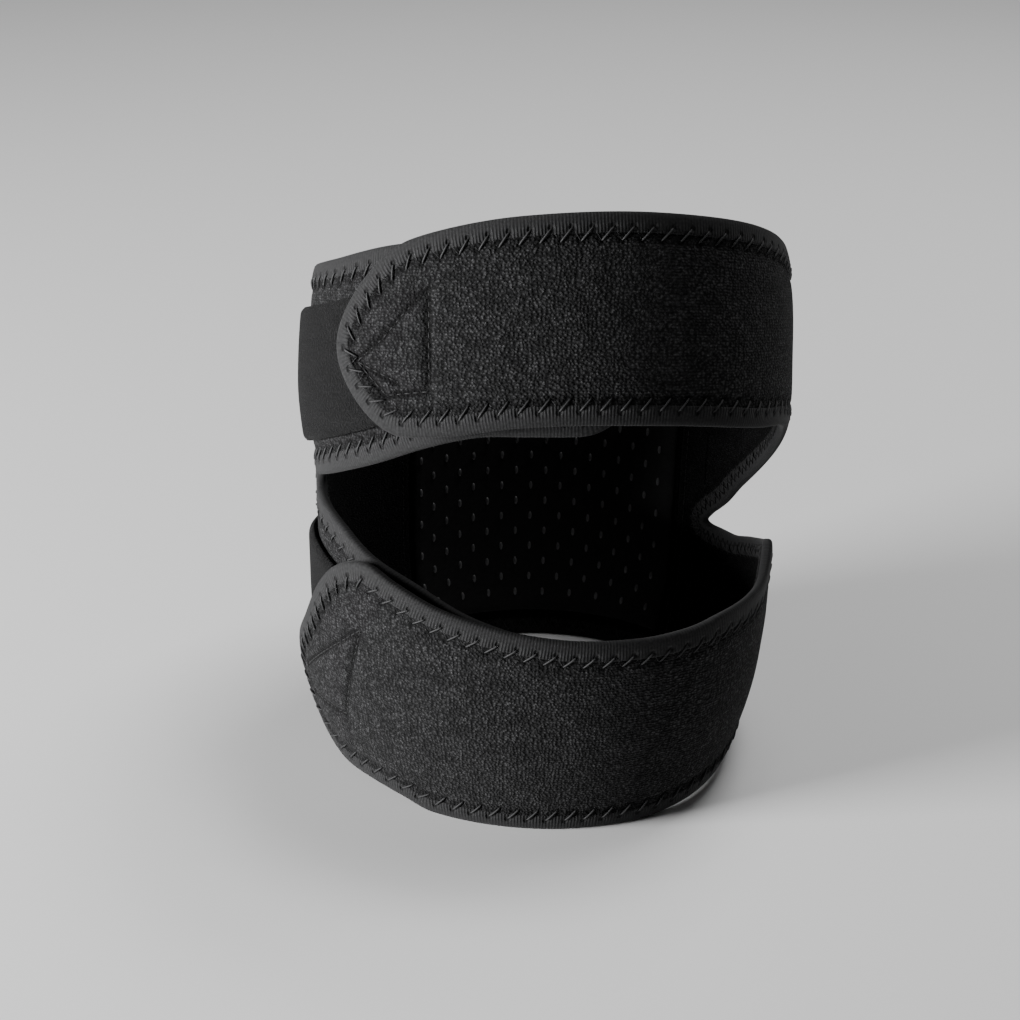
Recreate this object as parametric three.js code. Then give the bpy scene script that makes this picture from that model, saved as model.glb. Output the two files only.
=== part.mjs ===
// Patella strap: a double band of thick knitted cloth that wraps the leg above and below the
// kneecap. A back panel with a gripping lining carries two wings on its left and two straps on
// its right. The straps pass over the wings in front and end in rounded tabs, which hook onto
// loop patches on the wings. A folded tape binds every edge.
//
// Millimetres, +Z up. The front with the kneecap opening faces -Y. Every piece is a sheet laid on
// one leg form: a tube with an elliptic section, whose spine starts upright and leans back.
// A place on it is an angle (degrees, 0 in front, 90 on the left, 180 behind, 270 on the right,
// and on past 360 where the straps lie over the wings), a height along the spine and a depth
// outward from the leg.

import * as THREE from "three";

// Leg form
const SPINE = 135;
const SPINE_BEND = 24;
const HALF_WIDTH = 62.5;
const HALF_DEPTH = 55;

// Cloth, tape and pads
const CLOTH = 2.5;
const TAPE = 0.5;
const TAPE_WIDTH = 5;
const PATCH = 2.2;
const HOOK = 1.2;
const GRIP = 1.0;
const GAP = 0.3;

// Where the pieces begin and end, in degrees round the form
const BACK_HALF_ANGLE = 41.5;
const LEFT_NOTCH_FROM_SEAM = 54.5;
const RIGHT_NOTCH_FROM_SEAM = 10.5;
const UPPER_WING_REACH = 22;
const LOWER_WING_REACH = 20;
const UPPER_TAB_WRAP = 49.5;
const LOWER_TAB_WRAP = 83;
const WING_ROUND = 16;
const UPPER_TAB_ROUND = 18.5;
const LOWER_TAB_ROUND = 38;
const NOTCH_ROUND = 3;
const LIFT_RUN = 46;
const LIFT_LEAD = 13;

// Pads: how far each stays inside the tape, and how far it runs round the form
const PATCH_INSET = 4;
const PATCH_TOP_INSET = 6.4;
const PATCH_REAR = 22;
const HOOK_INSET = 2;
const GRIP_INSET = 2.5;
const GRIP_SIDE = 1.2;

// Facets
const STEP = 6;
const ROUND_STEPS = 3;
const PANEL_ROWS = [0, 0.13, 0.31, 0.5, 0.69, 0.87, 1];
const PAD_ROWS = [0, 0.25, 0.5, 0.75, 1];
const GRIP_ROWS = [0, 0.12, 0.24, 0.37, 0.5, 0.63, 0.76, 0.88, 1];

// Sections of the leg form: place along the spine, half width and half depth, all as shares.
const SECTIONS = [
  { at: 0.00, width: 0.810, depth: 0.82 },
  { at: 0.18, width: 0.910, depth: 0.91 },
  { at: 0.38, width: 0.935, depth: 0.96 },
  { at: 0.55, width: 0.945, depth: 0.98 },
  { at: 0.72, width: 0.985, depth: 1.00 },
  { at: 0.88, width: 0.970, depth: 0.98 },
  { at: 1.00, width: 0.940, depth: 0.96 },
];

// Edges of the bands. `at` counts the marks round a band: 0 is the wing's end, 1 the left
// notch, 2 the right notch and 3 the strap's tip. `height` is a share of the spine.
const UPPER_TOP = [
  { at: 0.00, height: 0.963 },
  { at: 0.54, height: 0.961 },
  { at: 0.81, height: 0.939 },
  { at: 1.05, height: 0.932 },
  { at: 1.35, height: 0.918 },
  { at: 1.65, height: 0.908 },
  { at: 1.95, height: 0.920 },
  { at: 2.16, height: 0.955 },
  { at: 2.30, height: 0.984 },
  { at: 2.45, height: 1.004 },
  { at: 2.60, height: 1.010 },
  { at: 2.76, height: 0.998 },
  { at: 2.86, height: 0.976 },
  { at: 2.93, height: 0.948 },
  { at: 3.00, height: 0.904 },
];
const UPPER_WING_FOOT = [
  { at: 0.00, height: 0.681 },
  { at: 0.11, height: 0.674 },
  { at: 0.27, height: 0.670 },
  { at: 0.36, height: 0.666 },
  { at: 0.47, height: 0.645 },
  { at: 0.64, height: 0.601 },
  { at: 0.85, height: 0.557 },
  { at: 1.00, height: 0.532 },
];
const UPPER_STRAP_FOOT = [
  { at: 2.00, height: 0.373 },
  { at: 2.04, height: 0.418 },
  { at: 2.08, height: 0.474 },
  { at: 2.16, height: 0.555 },
  { at: 2.26, height: 0.638 },
  { at: 2.35, height: 0.668 },
  { at: 2.44, height: 0.679 },
  { at: 2.56, height: 0.693 },
  { at: 2.67, height: 0.696 },
  { at: 2.76, height: 0.689 },
  { at: 2.84, height: 0.671 },
  { at: 2.90, height: 0.664 },
  { at: 3.00, height: 0.700 },
];
const LOWER_WING_TOP = [
  { at: 0.00, height: 0.326 },
  { at: 0.19, height: 0.341 },
  { at: 0.29, height: 0.356 },
  { at: 0.39, height: 0.377 },
  { at: 0.51, height: 0.412 },
  { at: 0.65, height: 0.441 },
  { at: 0.78, height: 0.477 },
  { at: 0.90, height: 0.496 },
  { at: 1.00, height: 0.505 },
];
const LOWER_STRAP_TOP = [
  { at: 2.00, height: 0.358 },
  { at: 2.05, height: 0.356 },
  { at: 2.10, height: 0.374 },
  { at: 2.16, height: 0.399 },
  { at: 2.21, height: 0.420 },
  { at: 2.25, height: 0.395 },
  { at: 2.29, height: 0.382 },
  { at: 2.35, height: 0.380 },
  { at: 2.41, height: 0.375 },
  { at: 2.45, height: 0.364 },
  { at: 2.51, height: 0.357 },
  { at: 2.58, height: 0.359 },
  { at: 2.65, height: 0.373 },
  { at: 2.72, height: 0.397 },
  { at: 2.77, height: 0.425 },
  { at: 2.81, height: 0.446 },
  { at: 2.86, height: 0.429 },
  { at: 2.90, height: 0.390 },
  { at: 2.94, height: 0.333 },
  { at: 3.00, height: 0.300 },
];
const LOWER_FOOT = [
  { at: 0.00, height: 0 },
  { at: 1.00, height: 0 },
  { at: 2.00, height: 0 },
  { at: 2.10, height: 0.018 },
  { at: 2.20, height: 0.040 },
  { at: 2.30, height: 0.036 },
  { at: 2.40, height: 0.017 },
  { at: 2.50, height: 0 },
  { at: 2.74, height: 0 },
  { at: 2.78, height: 0.013 },
  { at: 2.83, height: 0.019 },
  { at: 2.90, height: 0.006 },
  { at: 3.00, height: 0 },
];

// Marks that follow from the sizes above
const LEFT_SEAM = 180 - BACK_HALF_ANGLE;
const RIGHT_SEAM = 180 + BACK_HALF_ANGLE;
const LEFT_NOTCH = LEFT_SEAM - LEFT_NOTCH_FROM_SEAM;
const RIGHT_NOTCH = RIGHT_SEAM + RIGHT_NOTCH_FROM_SEAM;
const UPPER_MARKS = [-UPPER_WING_REACH, LEFT_NOTCH, RIGHT_NOTCH, 360 + UPPER_TAB_WRAP];
const LOWER_MARKS = [-LOWER_WING_REACH, LEFT_NOTCH, RIGHT_NOTCH, 360 + LOWER_TAB_WRAP];
const EDGE = TAPE + GAP;
const STRAP_LIFT = CLOTH + PATCH + HOOK + 3 * GAP;
const LIFT_END = 360 - Math.max(UPPER_WING_REACH, LOWER_WING_REACH) - LIFT_LEAD;

/** Smooth curve through a column of a table, level at its peaks and flat beyond its ends. */
function smooth(xs, ys, x) {
  const last = xs.length - 1;
  if (x <= xs[0]) return ys[0];
  if (x >= xs[last]) return ys[last];
  const i = xs.findIndex((value) => value > x) - 1;
  const slope = (k) => {
    const a = Math.max(k - 1, 0);
    const b = Math.min(k + 1, last);
    const turns = k > 0 && k < last && (ys[b] - ys[k]) * (ys[k] - ys[a]) <= 0;
    return turns ? 0 : (ys[b] - ys[a]) / (xs[b] - xs[a]);
  };
  const h = xs[i + 1] - xs[i];
  const t = (x - xs[i]) / h;
  const rise = t * t * (3 - 2 * t);
  const lead = t * (1 - t) * (1 - t) * h * slope(i);
  const trail = t * t * (1 - t) * h * slope(i + 1);
  return ys[i] + (ys[i + 1] - ys[i]) * rise + lead - trail;
}

/** How far the cloth stands off the leg form: straps rise to lie over the wings and pads. */
function lift(angle) {
  const t = THREE.MathUtils.clamp((angle - LIFT_END + LIFT_RUN) / LIFT_RUN, 0, 1);
  return STRAP_LIFT * t * t * (3 - 2 * t);
}

/** Point of the leg form at an angle, a height along the spine and a depth outward. */
function form(angle, height, depth) {
  const at = SECTIONS.map((row) => row.at);
  const share = height / SPINE;
  const a = HALF_WIDTH * smooth(at, SECTIONS.map((row) => row.width), share);
  const b = HALF_DEPTH * smooth(at, SECTIONS.map((row) => row.depth), share);
  const turn = THREE.MathUtils.degToRad(angle);
  const out = new THREE.Vector2(Math.sin(turn) / a, Math.cos(turn) / b).setLength(depth);
  const x = -a * Math.sin(turn) - out.x;
  const y = -b * Math.cos(turn) - out.y;
  const radius = SPINE / THREE.MathUtils.degToRad(SPINE_BEND);
  const lean = height / radius;
  return new THREE.Vector3(
    x,
    radius * (1 - Math.cos(lean)) + y * Math.cos(lean),
    radius * Math.sin(lean) - y * Math.sin(lean),
  );
}

/** Height of a band's edge at an angle, from its table. */
function edgeHeight(rows, marks, angle) {
  const angles = rows.map(({ at }) => {
    const k = Math.min(Math.floor(at), 2);
    return THREE.MathUtils.lerp(marks[k], marks[k + 1], at - k);
  });
  return SPINE * smooth(angles, rows.map((row) => row.height), angle);
}

/** Draws two edges together into a round end: a quarter ellipse each, from `round` before `tip`. */
function closeRound(angle, tip, round, edge, other) {
  const t = 1 - Math.abs(tip - angle) / Math.abs(round);
  if (t <= 0) return edge(angle);
  const middle = (edge(tip) + other(tip)) / 2;
  return middle + (edge(angle) - middle) * Math.sqrt(Math.max(0, 1 - t * t));
}

const upperTopLine = (angle) => edgeHeight(UPPER_TOP, UPPER_MARKS, angle);
const upperWingFootLine = (angle) => edgeHeight(UPPER_WING_FOOT, UPPER_MARKS, angle);
const upperStrapFootLine = (angle) => edgeHeight(UPPER_STRAP_FOOT, UPPER_MARKS, angle);
const lowerWingTopLine = (angle) => edgeHeight(LOWER_WING_TOP, LOWER_MARKS, angle);
const lowerStrapTopLine = (angle) => edgeHeight(LOWER_STRAP_TOP, LOWER_MARKS, angle);
const lowerFootLine = (angle) => edgeHeight(LOWER_FOOT, LOWER_MARKS, angle);

/** Line that both bands share between the notches, where the cloth is one full-height piece. */
function middleLine(angle) {
  const left = (upperWingFootLine(LEFT_NOTCH) + lowerWingTopLine(LEFT_NOTCH)) / 2;
  const right = (upperStrapFootLine(RIGHT_NOTCH) + lowerStrapTopLine(RIGHT_NOTCH)) / 2;
  const t = (angle - LEFT_NOTCH) / (RIGHT_NOTCH - LEFT_NOTCH);
  return THREE.MathUtils.lerp(left, right, t);
}

/** Outer edge of a band, rounded at its wing's end and its strap's tip. */
function outerEdge(angle, marks, tabRound, line, wingOther, strapOther) {
  if (angle < LEFT_NOTCH) return closeRound(angle, marks[0], WING_ROUND, line, wingOther);
  if (angle > RIGHT_NOTCH) return closeRound(angle, marks[3], tabRound, line, strapOther);
  return line(angle);
}

/** Inner edge of a band, rounded at both of its ends and at the notch between the bands. */
function innerEdge(angle, marks, tabRound, wing, strap, outer, wingOther, strapOther) {
  if (angle > LEFT_NOTCH && angle < RIGHT_NOTCH) return middleLine(angle);
  if (angle <= LEFT_NOTCH) {
    return angle > marks[0] + WING_ROUND
      ? closeRound(angle, LEFT_NOTCH, NOTCH_ROUND, wing, wingOther)
      : closeRound(angle, marks[0], WING_ROUND, wing, outer);
  }
  return angle < marks[3] - tabRound
    ? closeRound(angle, RIGHT_NOTCH, NOTCH_ROUND, strap, strapOther)
    : closeRound(angle, marks[3], tabRound, strap, outer);
}

/** Angles at which a band is cut into facets, closer together in its round ends. */
function bandAngles(marks, tabRound) {
  const rounds = [
    { tip: marks[0], start: marks[0] + WING_ROUND },
    { tip: LEFT_NOTCH, start: LEFT_NOTCH - NOTCH_ROUND },
    { tip: RIGHT_NOTCH, start: RIGHT_NOTCH + NOTCH_ROUND },
    { tip: marks[3], start: marks[3] - tabRound },
  ];
  const fixed = [LEFT_SEAM, RIGHT_SEAM];
  for (const { tip, start } of rounds) {
    const length = Math.abs(tip - start) * Math.PI / 2;
    const steps = Math.max(ROUND_STEPS, Math.ceil(length / STEP));
    for (let k = 0; k <= steps; k += 1) {
      fixed.push(start + (tip - start) * Math.sin((k / steps) * Math.PI / 2));
    }
  }
  const inRound = (angle) => rounds.some(({ tip, start }) => (angle - tip) * (angle - start) <= 0);
  const angles = [...fixed];
  for (let k = Math.ceil(marks[0] / STEP); k * STEP < marks[3]; k += 1) {
    const clear = fixed.every((value) => Math.abs(value - k * STEP) > STEP / 3);
    if (clear && !inRound(k * STEP)) angles.push(k * STEP);
  }
  return angles.sort((a, b) => a - b);
}

/** Samples the two bands' edges. Ends and the line between the notches are shared samples. */
function sampleBands() {
  const sample = (angle, height) => ({ angle, height, normal: new THREE.Vector2() });
  const upperAngles = bandAngles(UPPER_MARKS, UPPER_TAB_ROUND);
  const lowerAngles = bandAngles(LOWER_MARKS, LOWER_TAB_ROUND);
  const upper = {
    top: upperAngles.map((angle) => sample(angle, outerEdge(
      angle, UPPER_MARKS, UPPER_TAB_ROUND, upperTopLine, upperWingFootLine, upperStrapFootLine,
    ))),
    foot: upperAngles.map((angle) => sample(angle, innerEdge(
      angle, UPPER_MARKS, UPPER_TAB_ROUND, upperWingFootLine, upperStrapFootLine, upperTopLine,
      lowerWingTopLine, lowerStrapTopLine,
    ))),
  };
  const lower = {
    top: lowerAngles.map((angle) => sample(angle, innerEdge(
      angle, LOWER_MARKS, LOWER_TAB_ROUND, lowerWingTopLine, lowerStrapTopLine, lowerFootLine,
      upperWingFootLine, upperStrapFootLine,
    ))),
    foot: lowerAngles.map((angle) => sample(angle, outerEdge(
      angle, LOWER_MARKS, LOWER_TAB_ROUND, lowerFootLine, lowerWingTopLine, lowerStrapTopLine,
    ))),
  };
  for (const band of [upper, lower]) {
    band.foot[0] = band.top[0];
    band.foot[band.foot.length - 1] = band.top[band.top.length - 1];
  }
  const shared = upper.foot.filter(({ angle }) => angle >= LEFT_NOTCH && angle <= RIGHT_NOTCH);
  const first = lower.top.findIndex(({ angle }) => angle >= LEFT_NOTCH);
  lower.top.splice(first, shared.length, ...shared);
  return { upper, lower };
}

/** Millimetres that one degree and one millimetre of spine cover at a place of the form. */
function scaleAt({ angle, height }) {
  const depth = lift(angle) + CLOTH / 2;
  const across = form(angle + 0.5, height, depth).distanceTo(form(angle - 0.5, height, depth));
  const along = form(angle, height + 0.5, depth).distanceTo(form(angle, height - 0.5, depth));
  return new THREE.Vector2(across, along);
}

/** Gives each sample of the closed outline its inward normal, in millimetres on the cloth. */
function setNormals(outline) {
  outline.forEach((sample, k) => {
    const before = outline.at(k - 1);
    const after = outline[(k + 1) % outline.length];
    const scale = scaleAt(sample);
    const run = (after.angle - before.angle) * scale.x;
    const rise = (after.height - before.height) * scale.y;
    sample.normal.set(rise, -run).normalize();
  });
}

/** Place a given distance in from an edge sample, and a given distance on along the edge. */
function inset(sample, inward, onward = 0) {
  const scale = scaleAt(sample);
  const { x, y } = sample.normal;
  return {
    angle: sample.angle + (x * inward - y * onward) / scale.x,
    height: sample.height + (y * inward + x * onward) / scale.y,
  };
}

/** Grid of places between two edges, column by column, each row a share of the way up. */
function stripGrid(low, high, rows) {
  return low.map((start, i) => rows.map((share) => ({
    angle: THREE.MathUtils.lerp(start.angle, high[i].angle, share),
    height: THREE.MathUtils.lerp(start.height, high[i].height, share),
  })));
}

/** Closed solid of cloth on the form: the grids' outer and inner faces and the walls between. */
function clothGeometry(grids, inner, outer) {
  const places = [];
  const numbers = new Map();
  const triangles = [];
  const number = ({ angle, height }) => {
    const key = `${angle.toFixed(4)} ${height.toFixed(4)}`;
    if (!numbers.has(key)) numbers.set(key, places.push({ angle, height }) - 1);
    return numbers.get(key);
  };
  const addTriangle = (a, b, c) => {
    if (a !== b && b !== c && c !== a) triangles.push([a, b, c]);
  };
  for (const grid of grids) {
    const ids = grid.map((column) => column.map(number));
    for (let i = 0; i + 1 < ids.length; i += 1) {
      for (let j = 0; j + 1 < ids[i].length; j += 1) {
        addTriangle(ids[i][j], ids[i][j + 1], ids[i + 1][j + 1]);
        addTriangle(ids[i][j], ids[i + 1][j + 1], ids[i + 1][j]);
      }
    }
  }
  const edges = new Set(triangles.flatMap(([a, b, c]) => [`${a} ${b}`, `${b} ${c}`, `${c} ${a}`]));
  const count = places.length;
  const index = [];
  for (const [a, b, c] of triangles) {
    index.push(a, b, c, a + count, c + count, b + count);
    for (const [p, q] of [[a, b], [b, c], [c, a]]) {
      if (edges.has(`${q} ${p}`)) continue;
      index.push(p, p + count, q + count, p, q + count, q);
    }
  }
  const points = [outer, inner].flatMap((depth) => places.map(({ angle, height }) => (
    form(angle, height, depth + lift(angle))
  )));
  return new THREE.BufferGeometry().setFromPoints(points).setIndex(index);
}

/** Samples of a list whose angles lie within a range. */
function within(samples, from, to) {
  return samples.filter(({ angle }) => angle >= from - 1e-6 && angle <= to + 1e-6);
}

/** Sheet of the cloth itself between two angles, bound edges set back inside the tape. */
function panelGeometry({ upper, lower }, from, to) {
  const seamHalf = GAP / 2;
  const trimmed = (samples) => samples.map((sample) => {
    const place = inset(sample, EDGE);
    const side = seamHalf / scaleAt(sample).x;
    if (sample.angle === LEFT_SEAM) place.angle += from === LEFT_SEAM ? side : -side;
    if (sample.angle === RIGHT_SEAM) place.angle += from === RIGHT_SEAM ? side : -side;
    return place;
  });
  const grids = [upper, lower].map(({ top, foot }) => stripGrid(
    trimmed(within(foot, from, to)),
    trimmed(within(top, from, to)),
    PANEL_ROWS,
  ));
  return clothGeometry(grids, 0, CLOTH);
}

/** Folded tape along a run of edge samples: a channel whose legs lie over both faces. */
function tapeGeometry(run) {
  const fold = 0.8 * TAPE;
  const high = CLOTH + EDGE;
  const section = [
    [TAPE_WIDTH, high], [fold, high], [0, CLOTH + GAP], [0, -GAP], [fold, -EDGE],
    [TAPE_WIDTH, -EDGE], [TAPE_WIDTH, -GAP], [TAPE, -GAP], [TAPE, CLOTH + GAP],
    [TAPE_WIDTH, CLOTH + GAP],
  ].map(([inward, depth]) => new THREE.Vector2(inward, depth));
  const last = run.length - 1;
  const points = run.flatMap((sample, k) => section.map((corner) => {
    const onward = k === 0 ? GAP / 2 : k === last ? -GAP / 2 : 0;
    const { angle, height } = inset(sample, corner.x, onward);
    return form(angle, height, corner.y + lift(angle));
  }));
  const n = section.length;
  const index = [];
  for (let k = 0; k < last; k += 1) {
    for (let j = 0; j < n; j += 1) {
      const a = k * n + j;
      const b = k * n + (j + 1) % n;
      index.push(a, b, b + n, a, b + n, a + n);
    }
  }
  for (const [a, b, c] of THREE.ShapeUtils.triangulateShape(section, [])) {
    index.push(a, c, b, a + last * n, b + last * n, c + last * n);
  }
  return new THREE.BufferGeometry().setFromPoints(points).setIndex(index);
}

/** Loop patch on a wing's outer face, its edges inside the tape, running on past the notch. */
function patchGeometry(samples, lowLine, highLine) {
  const places = (line, shift) => samples.map(({ angle }) => {
    const height = line(angle);
    return { angle, height: height + shift / scaleAt({ angle, height }).y };
  });
  const foot = places(lowLine, TAPE_WIDTH + PATCH_INSET);
  const top = places(highLine, -TAPE_WIDTH - PATCH_TOP_INSET);
  const grid = stripGrid(foot, top, PAD_ROWS);
  return clothGeometry([grid], CLOTH + GAP, CLOTH + GAP + PATCH);
}

/** Hook pad on a tab's inner face, in the tab's own outline. */
function hookGeometry({ top, foot }, from) {
  const places = (samples) => within(samples, from, Infinity).map((sample) => (
    inset(sample, TAPE_WIDTH + HOOK_INSET)
  ));
  return clothGeometry([stripGrid(places(foot), places(top), PAD_ROWS)], -GAP - HOOK, -GAP);
}

/** Gripping lining on the inner face of the back panel, between its seams and hems. */
function gripGeometry({ upper, lower }) {
  const margin = TAPE_WIDTH + GRIP_INSET;
  const places = (samples) => within(samples, LEFT_SEAM, RIGHT_SEAM).map((sample) => {
    const place = inset(sample, margin);
    const side = GRIP_SIDE / scaleAt(sample).x;
    if (sample.angle === LEFT_SEAM) place.angle += side;
    if (sample.angle === RIGHT_SEAM) place.angle -= side;
    return place;
  });
  const grid = stripGrid(places(lower.foot), places(upper.top), GRIP_ROWS);
  return clothGeometry([grid], -GAP - GRIP, -GAP);
}

const bands = sampleBands();
const { upper, lower } = bands;

// The outline runs along the upper edge, back through the right notch, along the lower edge and
// back through the left notch, with the cloth always on its right.
const wingSide = (samples) => samples.filter(({ angle }) => angle <= LEFT_NOTCH);
const strapSide = (samples) => samples.filter(({ angle }) => angle >= RIGHT_NOTCH);
const upperRim = upper.top;
const rightNotch = [...strapSide(upper.foot).reverse(), ...strapSide(lower.top).slice(1)];
const lowerRim = [...lower.foot].reverse();
const leftNotch = [...wingSide(lower.top), ...wingSide(upper.foot).reverse().slice(1)];
setNormals([upperRim, rightNotch, lowerRim, leftNotch].flatMap((run) => run.slice(0, -1)));

const knit = new THREE.MeshStandardMaterial({ color: 0x0f0f10, roughness: 0.92, metalness: 0 });
const loop = new THREE.MeshStandardMaterial({ color: 0x17171a, roughness: 1, metalness: 0 });
const tape = new THREE.MeshStandardMaterial({ color: 0x141416, roughness: 0.85, metalness: 0 });
const hook = new THREE.MeshStandardMaterial({ color: 0x0c0c0d, roughness: 0.6, metalness: 0 });
const grip = new THREE.MeshStandardMaterial({ color: 0x0a0a0b, roughness: 0.7, metalness: 0 });

const patchSamples = upper.top.filter(({ angle }) => (
  angle >= 0 && angle < LEFT_NOTCH + PATCH_REAR
));
const pieces = [
  ["wing_panel", panelGeometry(bands, -360, LEFT_SEAM), knit],
  ["back_panel", panelGeometry(bands, LEFT_SEAM, RIGHT_SEAM), knit],
  ["strap_panel", panelGeometry(bands, RIGHT_SEAM, 720), knit],
  ["upper_loop_patch", patchGeometry(patchSamples, upperWingFootLine, upperTopLine), loop],
  ["lower_loop_patch", patchGeometry(patchSamples, lowerFootLine, lowerWingTopLine), loop],
  ["upper_hook_pad", hookGeometry(upper, UPPER_MARKS[3] - UPPER_TAB_ROUND), hook],
  ["lower_hook_pad", hookGeometry(lower, LOWER_MARKS[3] - LOWER_TAB_ROUND), hook],
  ["grip_pad", gripGeometry(bands), grip],
  ["upper_rim_binding", tapeGeometry(upperRim), tape],
  ["lower_rim_binding", tapeGeometry(lowerRim), tape],
  ["left_notch_binding", tapeGeometry(leftNotch), tape],
  ["right_notch_binding", tapeGeometry(rightNotch), tape],
];

// The origin is the middle of the strap's bounding box, on the floor that its lower rim stands on.
const strap = new THREE.Group();
for (const [name, geometry, material] of pieces) {
  const mesh = new THREE.Mesh(geometry, material);
  mesh.name = name;
  strap.add(mesh);
}
const box = new THREE.Box3().setFromObject(strap);
const middle = box.getCenter(new THREE.Vector3());
strap.position.set(-middle.x, -middle.y, -box.min.z);

export default strap;
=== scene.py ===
"""Patella strap: the looks of a double-band knee strap of black knitted foam cloth.

Every piece is a surface on one leg form, an elliptic tube whose spine leans back. A place on it
is an angle (degrees, 0 in front, 90 on the left, 180 behind, past 360 where the straps lie over
the wings), a height along the spine (mm) and a depth outward from the leg (mm).
"""
from __future__ import annotations

import logging
from dataclasses import dataclass
from enum import Enum

import bpy
import numpy as np
from mathutils import Matrix, Vector


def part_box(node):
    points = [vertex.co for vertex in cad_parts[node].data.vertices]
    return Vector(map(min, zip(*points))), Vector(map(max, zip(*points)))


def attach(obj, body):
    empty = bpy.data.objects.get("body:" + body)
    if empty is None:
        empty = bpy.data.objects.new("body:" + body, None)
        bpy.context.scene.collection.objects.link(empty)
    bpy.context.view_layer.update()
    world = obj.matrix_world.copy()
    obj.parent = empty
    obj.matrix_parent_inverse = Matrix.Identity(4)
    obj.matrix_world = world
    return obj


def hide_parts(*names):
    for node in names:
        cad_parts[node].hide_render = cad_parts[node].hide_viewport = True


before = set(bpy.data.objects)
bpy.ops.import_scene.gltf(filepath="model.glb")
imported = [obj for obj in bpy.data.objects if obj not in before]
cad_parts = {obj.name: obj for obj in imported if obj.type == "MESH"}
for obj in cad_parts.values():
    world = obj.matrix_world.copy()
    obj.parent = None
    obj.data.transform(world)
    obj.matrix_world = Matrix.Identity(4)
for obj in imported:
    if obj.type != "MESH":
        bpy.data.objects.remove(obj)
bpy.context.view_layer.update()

log = logging.getLogger("patella_strap")
MM = 0.001
BODY = "root"
Array = np.ndarray
Triple = tuple[float, float, float]


class Side(Enum):
    """Face of the cloth that a detail lies on."""

    OUTSIDE = 1
    INSIDE = -1


class Run(Enum):
    """The four lengths of edge tape, each named after its CAD node."""

    UPPER_RIM = "upper_rim_binding"
    RIGHT_NOTCH = "right_notch_binding"
    LOWER_RIM = "lower_rim_binding"
    LEFT_NOTCH = "left_notch_binding"


@dataclass(frozen=True)
class Sizes:
    """Driving sizes of the strap, in millimetres and degrees round the form."""

    spine: float = 135.0
    spine_bend: float = 24.0
    half_width: float = 62.5
    half_depth: float = 55.0
    cloth: float = 2.5
    tape: float = 0.5
    tape_width: float = 5.0
    patch: float = 2.2
    hook: float = 1.2
    grip: float = 1.0
    gap: float = 0.3
    back_half_angle: float = 41.5
    left_notch_from_seam: float = 54.5
    right_notch_from_seam: float = 10.5
    upper_wing_reach: float = 22.0
    lower_wing_reach: float = 20.0
    upper_tab_wrap: float = 49.5
    lower_tab_wrap: float = 83.0
    wing_round: float = 16.0
    upper_tab_round: float = 18.5
    lower_tab_round: float = 38.0
    notch_round: float = 3.0
    lift_run: float = 46.0
    lift_lead: float = 13.0
    patch_inset: float = 4.0
    patch_top_inset: float = 6.4
    patch_rear: float = 102.0
    grip_inset: float = 2.5
    grip_side: float = 1.2
    pinch: float = 0.45
    stitch_pitch: float = 4.8
    stitch_slant: float = 2.9
    stitch_outer: float = 3.6
    stitch_inner: float = 6.8

    @property
    def left_seam(self) -> float:
        """Angle of the seam between the wings and the back."""
        return 180 - self.back_half_angle

    @property
    def right_seam(self) -> float:
        """Angle of the seam between the back and the straps."""
        return 180 + self.back_half_angle

    @property
    def left_notch(self) -> float:
        """Angle where the wings part."""
        return self.left_seam - self.left_notch_from_seam

    @property
    def right_notch(self) -> float:
        """Angle where the straps part."""
        return self.right_seam + self.right_notch_from_seam

    @property
    def edge(self) -> float:
        """How far the cloth's edge lies inside the tape's fold."""
        return self.tape + self.gap

    @property
    def strap_lift(self) -> float:
        """Depth of the straps' inner face where they lie over the wings and pads."""
        return self.cloth + self.patch + self.hook + 3 * self.gap

    @property
    def lift_end(self) -> float:
        """Angle from which the straps lie fully over the wings."""
        return 360 - max(self.upper_wing_reach, self.lower_wing_reach) - self.lift_lead


# Sections of the leg form: place along the spine, half width and half depth, as shares.
SECTIONS = np.array([
    (0.00, 0.810, 0.82), (0.18, 0.910, 0.91), (0.38, 0.935, 0.96), (0.55, 0.945, 0.98),
    (0.72, 0.985, 1.00), (0.88, 0.970, 0.98), (1.00, 0.940, 0.96),
])
# Edges of the bands: mark (0 wing end, 1 left notch, 2 right notch, 3 strap tip), height share.
UPPER_TOP = np.array([
    (0.00, 0.963), (0.54, 0.961), (0.81, 0.939), (1.05, 0.932), (1.35, 0.918), (1.65, 0.908),
    (1.95, 0.920), (2.16, 0.955), (2.30, 0.984), (2.45, 1.004), (2.60, 1.010), (2.76, 0.998),
    (2.86, 0.976), (2.93, 0.948), (3.00, 0.904),
])
UPPER_WING_FOOT = np.array([
    (0.00, 0.681), (0.11, 0.674), (0.27, 0.670), (0.36, 0.666), (0.47, 0.645), (0.64, 0.601),
    (0.85, 0.557), (1.00, 0.532),
])
UPPER_STRAP_FOOT = np.array([
    (2.00, 0.373), (2.04, 0.418), (2.08, 0.474), (2.16, 0.555), (2.26, 0.638), (2.35, 0.668),
    (2.44, 0.679), (2.56, 0.693), (2.67, 0.696), (2.76, 0.689), (2.84, 0.671), (2.90, 0.664),
    (3.00, 0.700),
])
LOWER_WING_TOP = np.array([
    (0.00, 0.326), (0.19, 0.341), (0.29, 0.356), (0.39, 0.377), (0.51, 0.412), (0.65, 0.441),
    (0.78, 0.477), (0.90, 0.496), (1.00, 0.505),
])
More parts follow.
